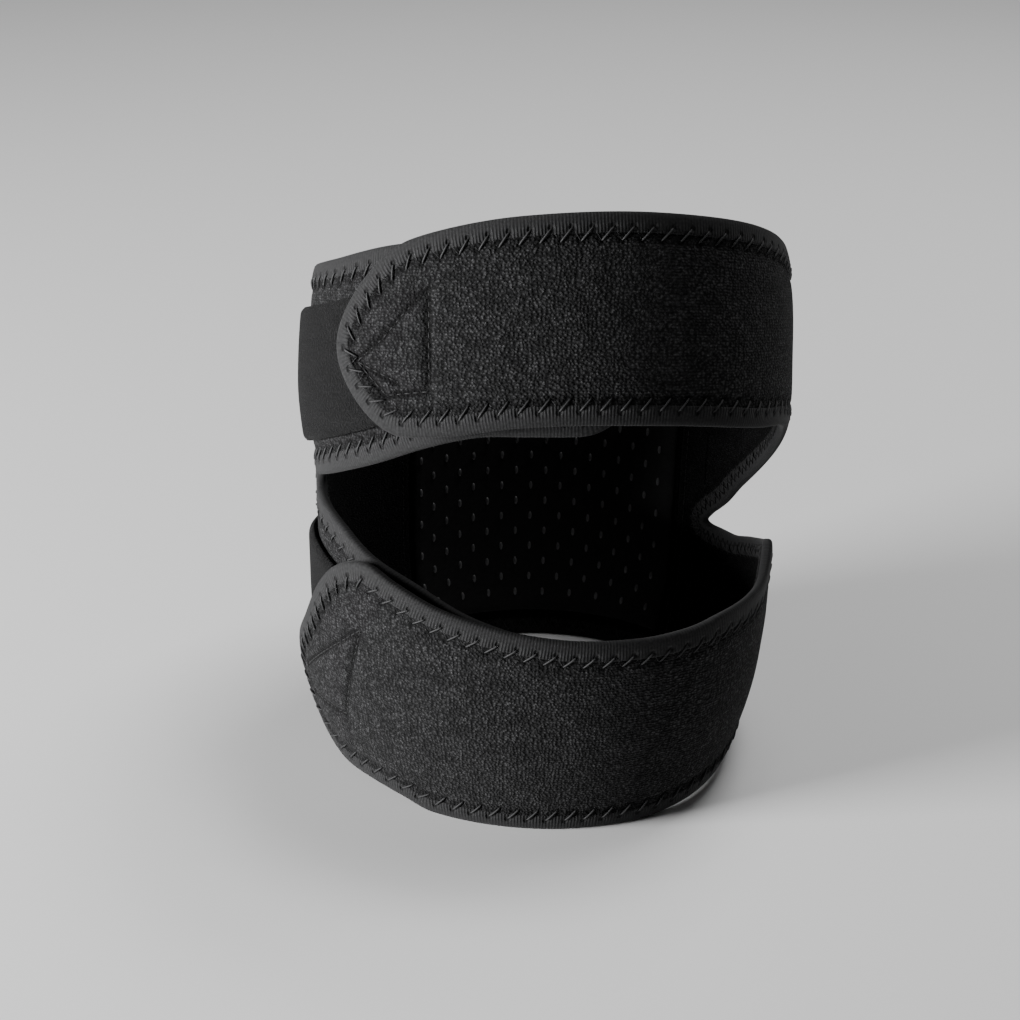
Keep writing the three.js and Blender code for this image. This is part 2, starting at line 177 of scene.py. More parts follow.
LOWER_STRAP_TOP = np.array([
    (2.00, 0.358), (2.05, 0.356), (2.10, 0.374), (2.16, 0.399), (2.21, 0.420), (2.25, 0.395),
    (2.29, 0.382), (2.35, 0.380), (2.41, 0.375), (2.45, 0.364), (2.51, 0.357), (2.58, 0.359),
    (2.65, 0.373), (2.72, 0.397), (2.77, 0.425), (2.81, 0.446), (2.86, 0.429), (2.90, 0.390),
    (2.94, 0.333), (3.00, 0.300),
])
LOWER_FOOT = np.array([
    (0.00, 0.0), (1.00, 0.0), (2.00, 0.0), (2.10, 0.018), (2.20, 0.040), (2.30, 0.036),
    (2.40, 0.017), (2.50, 0.0), (2.74, 0.0), (2.78, 0.013), (2.83, 0.019), (2.90, 0.006),
    (3.00, 0.0),
])


def smooth(xs: Array, ys: Array, x: Array) -> Array:
    """Smooth curve through table rows: cubic pieces whose slope at a row is that of its two
    neighbours, or level where the row is a peak, and flat beyond the ends.

    Args:
        xs: The rows' places, rising.
        ys: The rows' values.
        x: Places to read.

    Returns:
        The values at x.
    """
    slopes = np.empty(len(ys))
    slopes[1:-1] = (ys[2:] - ys[:-2]) / (xs[2:] - xs[:-2])
    slopes[0] = (ys[1] - ys[0]) / (xs[1] - xs[0])
    slopes[-1] = (ys[-1] - ys[-2]) / (xs[-1] - xs[-2])
    turns = (ys[2:] - ys[1:-1]) * (ys[1:-1] - ys[:-2]) <= 0
    slopes[1:-1] = np.where(turns, 0.0, slopes[1:-1])
    i = np.clip(np.searchsorted(xs, x, side="right") - 1, 0, len(xs) - 2)
    h = xs[i + 1] - xs[i]
    t = np.clip((x - xs[i]) / h, 0, 1)
    rise = t * t * (3 - 2 * t)
    lead = t * (1 - t) ** 2 * h * slopes[i]
    trail = t * t * (1 - t) * h * slopes[i + 1]
    return ys[i] + (ys[i + 1] - ys[i]) * rise + lead - trail


def step(low: float, high: float, x: Array) -> Array:
    """Smooth step from 0 at low to 1 at high."""
    t = np.clip((x - low) / (high - low), 0, 1)
    return t * t * (3 - 2 * t)


def bell(x: Array, width: float) -> Array:
    """Bell curve: e to the power of minus the square of x over the width."""
    return np.exp(-((x / width) ** 2))


def ripple(angle: Array, height: Array) -> Array:
    """Slow unevenness of the cloth: three crossed sine waves of unlike length.

    Args:
        angle: Degrees round the form.
        height: Millimetres along the spine.

    Returns:
        Millimetres to add to the depth.
    """
    return (
        0.10 * np.sin(angle * 0.11 + height * 0.07)
        + 0.07 * np.sin(angle * 0.23 - height * 0.16 + 1.3)
        + 0.05 * np.sin(angle * 0.05 + height * 0.31 + 2.1)
    )


class LegForm:
    """The tube that all pieces lie on."""

    def __init__(self, sizes: Sizes) -> None:
        """Keeps the sizes, and room for the shift to the strap's own origin."""
        self.sizes = sizes
        self.shift = np.zeros(3)

    def lift(self, angle: Array) -> Array:
        """How far the cloth stands off the form: a smooth step up to the straps' lift."""
        s = self.sizes
        return s.strap_lift * step(s.lift_end - s.lift_run, s.lift_end, angle)

    def point(self, angle: Array, height: Array, depth: Array) -> Array:
        """Points of the form: an ellipse in the section's plane, moved out along its normal by
        the depth and the lift, and the plane carried along a circular arc that leans back.

        Args:
            angle: Degrees round the form.
            height: Millimetres along the spine.
            depth: Millimetres outward from the cloth's inner face.

        Returns:
            Points in millimetres, with one more axis of length 3.
        """
        s = self.sizes
        angle, height, depth = np.broadcast_arrays(angle, height, depth)
        share = height / s.spine
        a = s.half_width * smooth(SECTIONS[:, 0], SECTIONS[:, 1], share)
        b = s.half_depth * smooth(SECTIONS[:, 0], SECTIONS[:, 2], share)
        turn = np.radians(angle)
        sine, cosine = np.sin(turn), np.cos(turn)
        reach = (depth + self.lift(angle)) / np.hypot(sine / a, cosine / b)
        x = -a * sine - reach * sine / a
        y = -b * cosine - reach * cosine / b
        radius = s.spine / np.radians(s.spine_bend)
        lean = height / radius
        forward = radius * (1 - np.cos(lean)) + y * np.cos(lean)
        up = radius * np.sin(lean) - y * np.sin(lean)
        return np.stack([x, forward, up], -1) + self.shift

    def both_faces(self, angle: Array, height: Array, outer: Array, inner: Array) -> Array:
        """Points of a sheet's outer face, then those of its inner face."""
        faces = [self.point(angle, height, depth).reshape(-1, 3) for depth in (outer, inner)]
        return np.concatenate(faces)

    def scale(self, angle: Array, height: Array) -> tuple[Array, Array]:
        """How long a degree and a millimetre of spine are on the cloth: the distance between
        the points half a unit before and half a unit after.

        Args:
            angle: Degrees round the form.
            height: Millimetres along the spine.

        Returns:
            Millimetres for one degree, and for one millimetre of spine.
        """
        depth = np.full(np.shape(angle), self.sizes.cloth / 2)
        across = self.point(angle + 0.5, height, depth) - self.point(angle - 0.5, height, depth)
        along = self.point(angle, height + 0.5, depth) - self.point(angle, height - 0.5, depth)
        return np.linalg.norm(across, axis=-1), np.linalg.norm(along, axis=-1)

    def raised(self, angle: Array, height: Array, distance: float) -> Array:
        """Heights that lie a distance further up on the cloth."""
        return height + distance / self.scale(angle, height)[1]

    def inset(self, edge: Array, inward: Array, onward: Array) -> tuple[Array, Array]:
        """Places a distance in from edge samples and a distance on along the edge: both
        distances turned by the sample's normal and divided by the form's scale.

        Args:
            edge: Samples of angle, height and the inward normal's two parts on the last axis.
            inward: Millimetres across the edge.
            onward: Millimetres along it.

        Returns:
            The places' angles and heights.
        """
        across, along = self.scale(edge[..., 0], edge[..., 1])
        nx, ny = edge[..., 2], edge[..., 3]
        angle = edge[..., 0] + (nx * inward - ny * onward) / across
        height = edge[..., 1] + (ny * inward + nx * onward) / along
        return angle, height

    def between(self, angle: Array, foot: Array, top: Array, share: Array) -> tuple[Array, ...]:
        """Grid of places between two lines: foot times one minus the share, plus top times it.

        Args:
            angle: Angles of the columns.
            foot: Height of the lower line at each column.
            top: Height of the upper line at each column.
            share: Places of the rows from foot to top, from 0 to 1.

        Returns:
            Grids of the angle, the height, the millimetres to the nearest of the four borders,
            and the form's two scales.
        """
        height = foot[:, None] * (1 - share) + top[:, None] * share
        low, high = angle[0], angle[-1]
        angle = np.broadcast_to(angle[:, None], height.shape)
        across, along = self.scale(angle, height)
        border = np.minimum.reduce([
            (height - foot[:, None]) * along, (top[:, None] - height) * along,
            (angle - low) * across, (high - angle) * across])
        return angle, height, border, across, along


@dataclass(frozen=True)
class Edge:
    """One edge of a band: the angles and heights of its table rows."""

    angles: Array
    shares: Array
    spine: float

    def at(self, angle: Array) -> Array:
        """Heights of the edge at some angles."""
        return self.spine * smooth(self.angles, self.shares, angle)

    def halfway(self, other: Edge, angle: float) -> float:
        """Height midway between this edge and another at one angle."""
        place = np.array([angle])
        return (self.at(place)[0] + other.at(place)[0]) / 2

    def closed(self, other: Edge, tip: float, length: float, angle: Array) -> Array:
        """The edge drawn in to a round end: its height above the middle of both edges at the
        tip times the root of 1 - t squared, where t runs from 0 to 1 over the end's length.

        Args:
            other: The edge that it meets at the tip.
            tip: Angle of the tip.
            length: Degrees from the start of the round end to its tip.
            angle: Angles to read.

        Returns:
            The heights.
        """
        t = np.clip(1 - np.abs(tip - angle) / length, 0, 1)
        middle = self.halfway(other, tip)
        return middle + (self.at(angle) - middle) * np.sqrt(1 - t * t)


@dataclass(frozen=True)
class Band:
    """One band: the angles of its marks, the length of its tab's round end, and its edges."""

    marks: Array
    tab_round: float
    outer: Edge
    wing: Edge
    strap: Edge


class BandPlan:
    """Outline of the two bands, sampled finely, with each sample's inward normal."""

    STEP = 0.75
    BLOCK = 2000
    GROOVE = 0.30
    GROOVE_WIDTH = 0.9

    def __init__(self, form: LegForm) -> None:
        """Lays out both bands and samples their edges.

        Args:
            form: The leg form that they lie on.
        """
        self.form = form
        s = self.sizes = form.sizes
        self.upper = self.band(s.upper_wing_reach, s.upper_tab_wrap, s.upper_tab_round,
                               (UPPER_TOP, UPPER_WING_FOOT, UPPER_STRAP_FOOT))
        self.lower = self.band(s.lower_wing_reach, s.lower_tab_wrap, s.lower_tab_round,
                               (LOWER_FOOT, LOWER_WING_TOP, LOWER_STRAP_TOP))
        self.sample()

    def band(self, reach: float, wrap: float, tab_round: float, tables: tuple[Array, ...]) -> Band:
        """Turns a band's tables, whose rows follow the marks, into edges by angle.

        Args:
            reach: How far the wing reaches past the front's middle.
            wrap: How far the strap reaches past it.
            tab_round: Length of the tab's round end.
            tables: Rows of the outer edge and of the wing's and the strap's inner edge.

        Returns:
            The band.
        """
        s = self.sizes
        marks = np.array([-reach, s.left_notch, s.right_notch, 360 + wrap])
        edges = [
            Edge(np.interp(rows[:, 0], np.arange(4), marks), rows[:, 1], s.spine)
            for rows in tables
        ]
        return Band(marks, tab_round, *edges)

    def outer_edge(self, band: Band, angle: Array) -> Array:
        """Height of a band's outer edge, round at the wing's end and the strap's tip.

        Args:
            band: The band.
            angle: Angles to read.

        Returns:
            The heights.
        """
        s = self.sizes
        wing_side = band.outer.closed(band.wing, band.marks[0], s.wing_round, angle)
        strap_side = band.outer.closed(band.strap, band.marks[3], band.tab_round, angle)
        return np.where(angle < s.left_notch, wing_side, strap_side)

    def inner_edge(self, band: Band, other: Band, angle: Array) -> Array:
        """Height of a band's inner edge, round at its ends and at the notches, and between the
        notches the straight line that both bands share.

        Args:
            band: The band.
            other: The other band, which it meets at the notches.
            angle: Angles to read.

        Returns:
            The heights.
        """
        s = self.sizes
        at_notch = band.wing.closed(other.wing, s.left_notch, s.notch_round, angle)
        at_end = band.wing.closed(band.outer, band.marks[0], s.wing_round, angle)
        left = np.where(angle > band.marks[0] + s.wing_round, at_notch, at_end)
        at_notch = band.strap.closed(other.strap, s.right_notch, s.notch_round, angle)
        at_end = band.strap.closed(band.outer, band.marks[3], band.tab_round, angle)
        right = np.where(angle < band.marks[3] - band.tab_round, at_notch, at_end)
        ends = [s.left_notch, s.right_notch]
        levels = [band.wing.halfway(other.wing, ends[0]), band.strap.halfway(other.strap, ends[1])]
        middle = np.interp(angle, ends, levels)
        return np.where(angle <= ends[0], left, np.where(angle >= ends[1], right, middle))

    def angles(self, band: Band) -> Array:
        """Angles of a band's samples: even steps, and inside the round ends the sine of even
        parts of a quarter turn.

        Args:
            band: The band.

        Returns:
            The angles, rising.
        """
        s = self.sizes
        first, last = band.marks[0], band.marks[3]
        ends = [
            (first, first + s.wing_round), (s.left_notch, s.left_notch - s.notch_round),
            (s.right_notch, s.right_notch + s.notch_round), (last, last - band.tab_round),
        ]
        even = np.arange(first, last, self.STEP)
        fixed = [np.array([s.left_seam, s.right_seam])]
        for tip, start in ends:
            even = even[(even - tip) * (even - start) > 0]
            count = max(6, int(abs(tip - start) * 1.6 / self.STEP))
            turn = np.linspace(0, np.pi / 2, count + 1)
            fixed.append(start + (tip - start) * np.sin(turn))
        kept = np.concatenate(fixed)
        clear = np.abs(even[:, None] - kept[None, :]).min(1) > self.STEP / 3
        return np.sort(np.concatenate([even[clear], kept]))

    def sample(self) -> None:
        """Samples the edges, chains them into the closed outline and works out its normals:
        the run from each sample's neighbour before to its neighbour after, turned right."""
        s = self.sizes
        up, lo = self.angles(self.upper), self.angles(self.lower)
        between = (up >= s.left_notch) & (up <= s.right_notch)
        lo = np.concatenate([lo[lo < s.left_notch], up[between], lo[lo > s.right_notch]])
        top = np.stack([up, self.outer_edge(self.upper, up)], -1)
        foot = np.stack([up, self.inner_edge(self.upper, self.lower, up)], -1)
        low_top = np.stack([lo, self.inner_edge(self.lower, self.upper, lo)], -1)
        low_foot = np.stack([lo, self.outer_edge(self.lower, lo)], -1)
        wing = [edge[edge[:, 0] <= s.left_notch] for edge in (foot, low_top)]
        strap = [edge[edge[:, 0] >= s.right_notch] for edge in (foot, low_top)]
        chains = {
            Run.UPPER_RIM: top,
            Run.RIGHT_NOTCH: np.concatenate([strap[0][::-1], strap[1][1:]]),
            Run.LOWER_RIM: low_foot[::-1],
            Run.LEFT_NOTCH: np.concatenate([wing[1], wing[0][::-1][1:]]),
        }
        outline = np.concatenate([chain[:-1] for chain in chains.values()])
        across, along = self.form.scale(outline[:, 0], outline[:, 1])
        span = np.roll(outline, -1, 0) - np.roll(outline, 1, 0)
        normal = np.stack([span[:, 1] * along, -span[:, 0] * across], -1)
        normal /= np.linalg.norm(normal, axis=1, keepdims=True)
        self.outline = np.concatenate([outline, normal], 1)
        self.runs: dict[Run, Array] = {}
        start = 0
        for run, chain in chains.items():
            index = np.arange(start, start + len(chain)) % len(outline)
            self.runs[run] = self.outline[index]
            start += len(chain) - 1
        self.upper_top = self.runs[Run.UPPER_RIM]
        self.lower_foot = self.runs[Run.LOWER_RIM][::-1]
        right, left = self.runs[Run.RIGHT_NOTCH], self.runs[Run.LEFT_NOTCH]
        flat = np.concatenate([foot, np.zeros_like(foot)], 1)[
            (foot[:, 0] > s.left_notch) & (foot[:, 0] < s.right_notch)]
        n_right, n_left = len(strap[0]), len(wing[1])
        self.upper_foot = np.concatenate([left[n_left - 1:][::-1], flat, right[:n_right][::-1]])
        self.lower_top = np.concatenate([left[:n_left], flat, right[n_right - 1:]])

    def stitches(self, run: Array) -> Array:
        """Number of stitches from a run's start to each of its samples: the length along the
        line where the tape ends, shared into a whole number of stitches.

        Args:
            run: Edge samples of the run.

        Returns:
            The numbers, from 0 up.
        """
        angle, height = self.form.inset(run, self.sizes.tape_width, 0.0)
        across, along = self.form.scale(angle[:-1], height[:-1])
        gaps = np.hypot(np.diff(angle) * across, np.diff(height) * along)
        length = np.concatenate([[0.0], np.cumsum(gaps)])
        return length / length[-1] * round(length[-1] / self.sizes.stitch_pitch)

    def paced(self, run: Array, share: float = 1.0) -> Array:
        """Edge samples in the middle of each stitch, read between the run's own samples.

        Args:
            run: Edge samples of the run.
            share: Part of a stitch from one sample to the next.

        Returns:
            The new samples.
        """
        stitches = self.stitches(run)
        at = (np.arange(round(stitches[-1] / share)) + 0.5) * share
        picked = np.stack([np.interp(at, stitches, run[:, k]) for k in range(4)], -1)
        picked[:, 2:] /= np.linalg.norm(picked[:, 2:], axis=1, keepdims=True)
        return picked

    def edge_place(self, angle: Array, height: Array) -> tuple[Array, Array]:
        """Where places lie beside the outline, found in blocks to spare memory: the root of the
        least sum of squares, across and along, to an outline sample.

        Args:
            angle: The places' angles.
            height: Their heights.

        Returns:
            The distance to the nearest outline sample, and the stitches up to that sample.
        """
        across, along = self.form.scale(angle, height)
        stitches = np.concatenate([self.stitches(run)[:-1] for run in self.runs.values()])
        distance, number = np.empty(len(angle)), np.empty(len(angle))
        for start in range(0, len(angle), self.BLOCK):
            block = slice(start, start + self.BLOCK)
            dx = (angle[block, None] - self.outline[None, :, 0]) * across[block, None]
            dy = (height[block, None] - self.outline[None, :, 1]) * along[block, None]
            square = dx * dx + dy * dy
            distance[block] = np.sqrt(square.min(1))
            number[block] = stitches[square.argmin(1)]
        return distance, number

    def pull(self, number: Array, inward: Array) -> Array:
        """How strongly a slanted stitch pulls at a place: a squared cosine wave that moves
        along as the thread slants.

        Args:
            number: Stitches from the run's start.
            inward: Millimetres in from the edge.

        Returns:
            Numbers from 0 between stitches to 1 on the line of a thread.
        """
        s = self.sizes
        slant = (inward - s.stitch_outer) / (s.stitch_inner - s.stitch_outer) - 0.5
        turn = number - 0.5 - np.clip(slant, -0.5, 0.5) * s.stitch_slant / s.stitch_pitch
        return (0.5 + 0.5 * np.cos(2 * np.pi * turn)) ** 2

    def pinched(self, distance: Array) -> Array:
        """How far the tape presses each face of the cloth in, at a distance from the edge."""
        s = self.sizes
        return s.pinch * (1 - step(1.0, s.tape_width + 1.0, distance))

    def sheet_depth(self, distance: Array) -> Array:
        """The pinch under the tape plus a bell-shaped groove where the tape is sewn down."""
        beside = distance - self.sizes.stitch_inner
        return self.pinched(distance) + self.GROOVE * bell(beside, self.GROOVE_WIDTH)


def grid_triangles(columns: int, rows: int, start: int = 0) -> Array:
    """Triangles of a grid whose points are numbered column by column, facing outward when the
    columns run with the angle and the rows upward.

    Args:
        columns: Number of columns.
        rows: Points in a column.
        start: Number of the first point.

    Returns:
        Rows of three point numbers.
    """
    index = np.arange(columns * rows).reshape(columns, rows) + start
    a, b = index[:-1, :-1].ravel(), index[:-1, 1:].ravel()
    c, d = index[1:, 1:].ravel(), index[1:, :-1].ravel()
    return np.concatenate([np.stack([a, b, c], -1), np.stack([a, c, d], -1)])


def tube_faces(tubes: int, rings: int, corners: int, turned: bool = False) -> list[Array]:
    """Faces of closed tubes whose points are numbered tube by tube and ring by ring.

    Args:
        tubes: Number of tubes.
        rings: Rings of a tube.
        corners: Points of a ring.
        turned: Whether the faces are turned over.

    Returns:
        The four-cornered sides, and a first and a last face for each tube.
    """
    index = np.arange(tubes * rings * corners).reshape(tubes, rings, corners)
    after = np.roll(index, -1, 2)
    sides = np.stack([index[:, :-1], after[:, :-1], after[:, 1:], index[:, 1:]], -1)
    faces = [sides.reshape(-1, 4), np.concatenate([index[:, 0, ::-1], index[:, -1]])]
    return [block[:, ::-1] for block in faces] if turned else faces


def sheet_faces(triangles: Array, count: int) -> list[Array]:
    """Faces of a thick sheet whose inner points follow its outer ones.

    Args:
        triangles: Triangles of the outer face.
        count: Number of points of one face.

    Returns:
        The outer face, the inner face turned over, and a wall for each edge that only one
        triangle has.
    """
    edges = np.concatenate([triangles[:, [0, 1]], triangles[:, [1, 2]], triangles[:, [2, 0]]])
    forward = edges[:, 0] * count + edges[:, 1]
    backward = edges[:, 1] * count + edges[:, 0]
    p, q = edges[~np.isin(forward, backward)].T
    walls = np.stack([p, p + count, q + count, q], -1)
    return [triangles, triangles[:, ::-1] + count, walls]


def weld(places: Array, triangles: Array) -> tuple[Array, Array]:
    """Merges places that coincide and drops the triangles that this closes up.

    Args:
        places: Places on the form.
        triangles: Triangles between them.

    Returns:
        The places and triangles that are left.
    """
    kept, index = np.unique(np.round(places, 4), axis=0, return_inverse=True)
    triangles = index.reshape(-1)[triangles]
    a, b, c = triangles.T
    return kept, triangles[(a != b) & (b != c) & (c != a)]


def cloth_map(angle: Array, height: Array, radius: float) -> Array:
    """Pairs of millimetres along and across the cloth, at one radius for all heights."""
    return np.stack([angle * np.pi / 180 * radius, height], -1).reshape(-1, 2)


def make_object(
    name: str,
    points: Array,
    faces: list[Array],
    material: bpy.types.Material,
    maps: dict[str, Array] | None = None,
    values: dict[str, Array] | None = None,
) -> bpy.types.Object:
    """Puts arrays into a smooth-shaded mesh object that rides on the body, and that replaces
    the CAD node of its name if there is one.

    Args:
        name: Object name.
        points: Vertices in millimetres.
        faces: Arrays of faces, all faces of one array with the same number of corners.
        material: Its finish.
        maps: Named pairs of millimetres along and across the cloth, one pair a vertex.
        values: Further named numbers, one a vertex.

    Returns:
        The new object.
    """
    mesh = bpy.data.meshes.new(name)
    corners = np.concatenate([block.ravel() for block in faces]).astype(np.int32)
    sizes = np.concatenate([np.full(len(block), block.shape[1]) for block in faces])
    mesh.vertices.add(len(points))
    mesh.vertices.foreach_set("co", (points * MM).astype(np.float32).ravel())
    mesh.loops.add(len(corners))
    mesh.loops.foreach_set("vertex_index", corners)
    mesh.polygons.add(len(sizes))
    starts = np.concatenate([[0], np.cumsum(sizes)[:-1]]).astype(np.int32)
    mesh.polygons.foreach_set("loop_start", starts)
    mesh.polygons.foreach_set("use_smooth", np.ones(len(sizes), bool))
    mesh.update(calc_edges=True)
    for key, pairs in (maps or {}).items():
        layer = mesh.uv_layers.new(name=key)
        layer.uv.foreach_set("vector", pairs[corners].astype(np.float32).ravel())
    for key, numbers in (values or {}).items():
        attribute = mesh.attributes.new(key, "FLOAT", "POINT")
        attribute.data.foreach_set("value", numbers.astype(np.float32))
    mesh.validate()
    mesh.materials.append(material)
    made = bpy.data.objects.new(name, mesh)
    bpy.context.scene.collection.objects.link(made)
    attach(made, BODY)
    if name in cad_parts:
        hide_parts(name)
    return made


def make_sheet(
    name: str,
    points: Array,
    triangles: Array,
    material: bpy.types.Material,
    maps: dict[str, Array],
    values: dict[str, Array] | None = None,
) -> bpy.types.Object:
    """Makes a thick sheet whose two faces have the same maps.

    Args:
        name: Object name.
        points: Points of the outer face, then of the inner one.
        triangles: Triangles of the outer face.
        material: Its finish.
        maps: Named pairs, one for each point of one face.
        values: Further named numbers, one for each point of both faces.

    Returns:
        The new object.
    """
    doubled = {key: np.tile(pairs, (2, 1)) for key, pairs in maps.items()}
    faces = sheet_faces(triangles, len(points) // 2)
    return make_object(name, points, faces, material, doubled, values)


class ShaderNodes:
    """Adds and joins shader nodes, and hands back sockets."""

    def __init__(self, name: str) -> None:
        """Makes a new material with an empty node tree and a principled shader.

        Args:
            name: The material's name.
        """
        self.material = bpy.data.materials.new(name)
        self.material.use_nodes = True
        self.tree = self.material.node_tree
        self.tree.nodes.clear()
        self.shader = self.tree.nodes.new("ShaderNodeBsdfPrincipled")
        output = self.tree.nodes.new("ShaderNodeOutputMaterial")
        self.tree.links.new(self.shader.outputs["BSDF"], output.inputs["Surface"])

    def node(self, kind: str, *values: object, **settings: object) -> bpy.types.ShaderNode:
        """Adds a node.

        Args:
            kind: The node's type.
            values: Sockets or constants for its first inputs.
            settings: Its properties.

        Returns:
            The node.
        """
        made = self.tree.nodes.new(kind)
        for key, value in settings.items():
            setattr(made, key, value)
        for socket, value in zip(made.inputs, values):
            self.put(socket, value)
        return made

    def put(self, socket: bpy.types.NodeSocket, value: object) -> None:
        """Links a socket to another, or sets its value.

        Args:
            socket: The input.
            value: An output socket, or a constant.
        """
        if isinstance(value, bpy.types.NodeSocket):
            self.tree.links.new(value, socket)
        else:
            socket.default_value = value

    def surface(self, colour: object, roughness: object, specular: object = 0.5,
                sheen: float = 0.0) -> None:
        """Sets the principled shader.

        Args:
            colour: Base colour.
            roughness: Roughness.
            specular: Strength of the mirror-like part, where 0.5 is plain.
            sheen: Weight of the fuzz.
        """
        self.put(self.shader.inputs["Base Color"], colour)
        self.put(self.shader.inputs["Roughness"], roughness)
        self.put(self.shader.inputs["Specular IOR Level"], specular)
        self.put(self.shader.inputs["Sheen Weight"], sheen)

    def math(self, operation: str, a: object, b: object = 0.0, c: object = 0.0) -> object:
        """A math node's result."""
        return self.node("ShaderNodeMath", a, b, c, operation=operation).outputs[0]

    def times(self, first: object, *others: object) -> object:
        """The product of several values.

        Args:
            first: First factor.
            others: The further ones, in order.

        Returns:
            The socket that holds the product.
        """
        for other in others:
            first = self.math("MULTIPLY", first, other)
        return first

    def uv(self, name: str = "Cloth") -> tuple[object, object, object]:
        """A named map's place, and its millimetres along and across."""
        place = self.node("ShaderNodeUVMap", uv_map=name).outputs[0]
        return place, *self.node("ShaderNodeSeparateXYZ", place).outputs[:2]

    def attribute(self, name: str) -> object:
        """A named number of the mesh."""
        return self.node("ShaderNodeAttribute", attribute_name=name).outputs["Fac"]

    def vector(self, x: object, y: object) -> object:
        """A flat vector from two numbers."""
        return self.node("ShaderNodeCombineXYZ", x, y).outputs[0]

    def hole(self, u: object, v: object, turn: float, row: float, radius: float) -> object:
        """Mask for painted shade in needle holes: 0 inside and 1 outside small spots, one for each
        stitch, by the root of the squared distances along and across.

        Args:
            u: Millimetres along the edge.
            v: Millimetres in from the edge.
            turn: Place of the hole within a stitch, from 0 to 1.
            row: Distance of the holes from the edge.
            radius: Radius of a hole.

        Returns:
            The socket that holds the result.
        """
        pitch = Sizes().stitch_pitch
        place = self.math("FRACT", self.math("ADD", self.math("DIVIDE", u, pitch), 1.5 - turn))
        dx = self.times(self.math("SUBTRACT", place, 0.5), pitch)
        dy = self.math("SUBTRACT", v, row)
        square = self.math("ADD", self.times(dx, dx), self.times(dy, dy))
        return self.span(self.math("SQRT", square), 0.4 * radius, 1.4 * radius)

    def noise(self, place: object, scale: float, detail: float) -> object:
        """Noise from 0 to 1 at a place.

        Args:
            place: Where to read it.
            scale: Features in one unit.
            detail: Number of finer layers.

        Returns:
            The socket that holds the noise.
        """
        made = self.node("ShaderNodeTexNoise")
        for key, value in (("Vector", place), ("Scale", scale), ("Detail", detail)):
            self.put(made.inputs[key], value)
        return made.outputs[0]

    def cells(self, place: object, randomness: float) -> object:
        """Distance to the nearest point of a loose grid of cells one unit wide.

        Args:
            place: Where to read it.
            randomness: How loose the grid is, from 0 to 1.

        Returns:
            The socket that holds the distance.
        """
        made = self.node("ShaderNodeTexVoronoi", voronoi_dimensions="2D")
        for key, value in (("Vector", place), ("Scale", 1.0), ("Randomness", randomness)):
            self.put(made.inputs[key], value)
        return made.outputs["Distance"]

    def span(self, value: object, low: float, high: float, a: float = 0.0,
             b: float = 1.0) -> object:
        """A value mapped smoothly from low..high to a..b."""
        made = self.node("ShaderNodeMapRange", value, low, high, a, b,
                         interpolation_type="SMOOTHSTEP")
        return made.outputs[0]

    def mix(self, share: object, a: Triple, b: Triple) -> object:
        """A colour between two.

        Args:
            share: Share of the second colour.
            a: The first colour.
            b: The second colour.

        Returns:
            The socket that holds the colour.
        """
        made = self.node("ShaderNodeMix", share, data_type="RGBA")
        made.inputs[6].default_value = (*a, 1.0)
        made.inputs[7].default_value = (*b, 1.0)
        return made.outputs[2]

    def bump(self, height: object, distance: float) -> None:
        """Roughens the surface.

        Args:
            height: A height from 0 to 1.
            distance: Metres that 1 stands for.
        """
        made = self.node("ShaderNodeBump")
        for key, value in (("Strength", 1.0), ("Distance", distance), ("Height", height)):
            self.put(made.inputs[key], value)
        self.put(self.shader.inputs["Normal"], made.outputs[0])


@dataclass(frozen=True)
class KnitFinish:
    """Knitted face of the foam cloth: rows of small loops that catch the light unevenly."""

    course: float = 0.62
    wale: float = 0.92
    valley: Triple = (0.0022, 0.0022, 0.0023)
    loop: Triple = (0.046, 0.046, 0.0474)

    def build(self) -> bpy.types.Material:
        """Makes the material: cells along the courses, lit by fine noise, with painted shade in the
        channels of the box stitching, in the crease and needle holes where the edge stitches go in,
        and on the inner face.

        Returns:
            The material.
        """
        n = ShaderNodes("knit")
        place, u, v = n.uv()
        wobble = n.times(n.noise(place, 0.22, 2.0), 1.6)
        x = n.math("ADD", n.math("DIVIDE", u, self.wale), wobble)
        y = n.math("DIVIDE", v, self.course)
        raised = n.span(n.cells(n.vector(x, y), 0.75), 0.62, 0.06, 0.25, 1.0)
        rows = n.math("MULTIPLY_ADD", n.math("SINE", n.times(y, 2 * np.pi)), 0.15, 0.8)
        glint = n.span(n.noise(place, 1.05, 5.0), 0.42, 0.70)
        drift = n.span(n.noise(place, 0.25, 5.0), 0.35, 0.65, 0.6, 1.3)
        loops = n.times(raised, rows)
        share = n.times(loops, drift, n.math("MULTIPLY_ADD", glint, 0.80, 0.34))
        along, inward = n.uv("Edge")[1:]
        s = Sizes()
        # Painted shade in the needle holes where the edge stitches go in.
        holes = n.hole(along, inward, 0.5 + s.stitch_slant / s.stitch_pitch / 2,
                       s.stitch_inner, 0.85)
        # Painted shade along the crease where the edge tape is sewn down.
        crease_shade = n.span(inward, 5.2, s.stitch_inner + 1.2, 0.4, 1.0)
        inside = n.attribute("inside")
        # Painted shade on the inner face: a quarter of the brightness, standing in for the shade
        # inside the strap.
        shade = n.span(inside, 0.0, 1.0, 1.0, 0.25)
        # Painted shade in the box stitching's groove, times the painted shade of the inner face.
        channel_and_inside_shade = n.times(n.span(n.attribute("box"), 0.4, 1.3, 0.08, 1.0), shade)
        share = n.times(share, n.times(holes, crease_shade, channel_and_inside_shade))
        n.surface(n.mix(share, self.valley, self.loop), n.span(glint, 0.0, 1.0, 0.95, 0.72),
                  n.span(inside, 0.0, 1.0, 0.08, 0.03), 0.02)
        n.bump(n.math("MULTIPLY_ADD", glint, 0.4, loops), 0.00036)
        return n.material


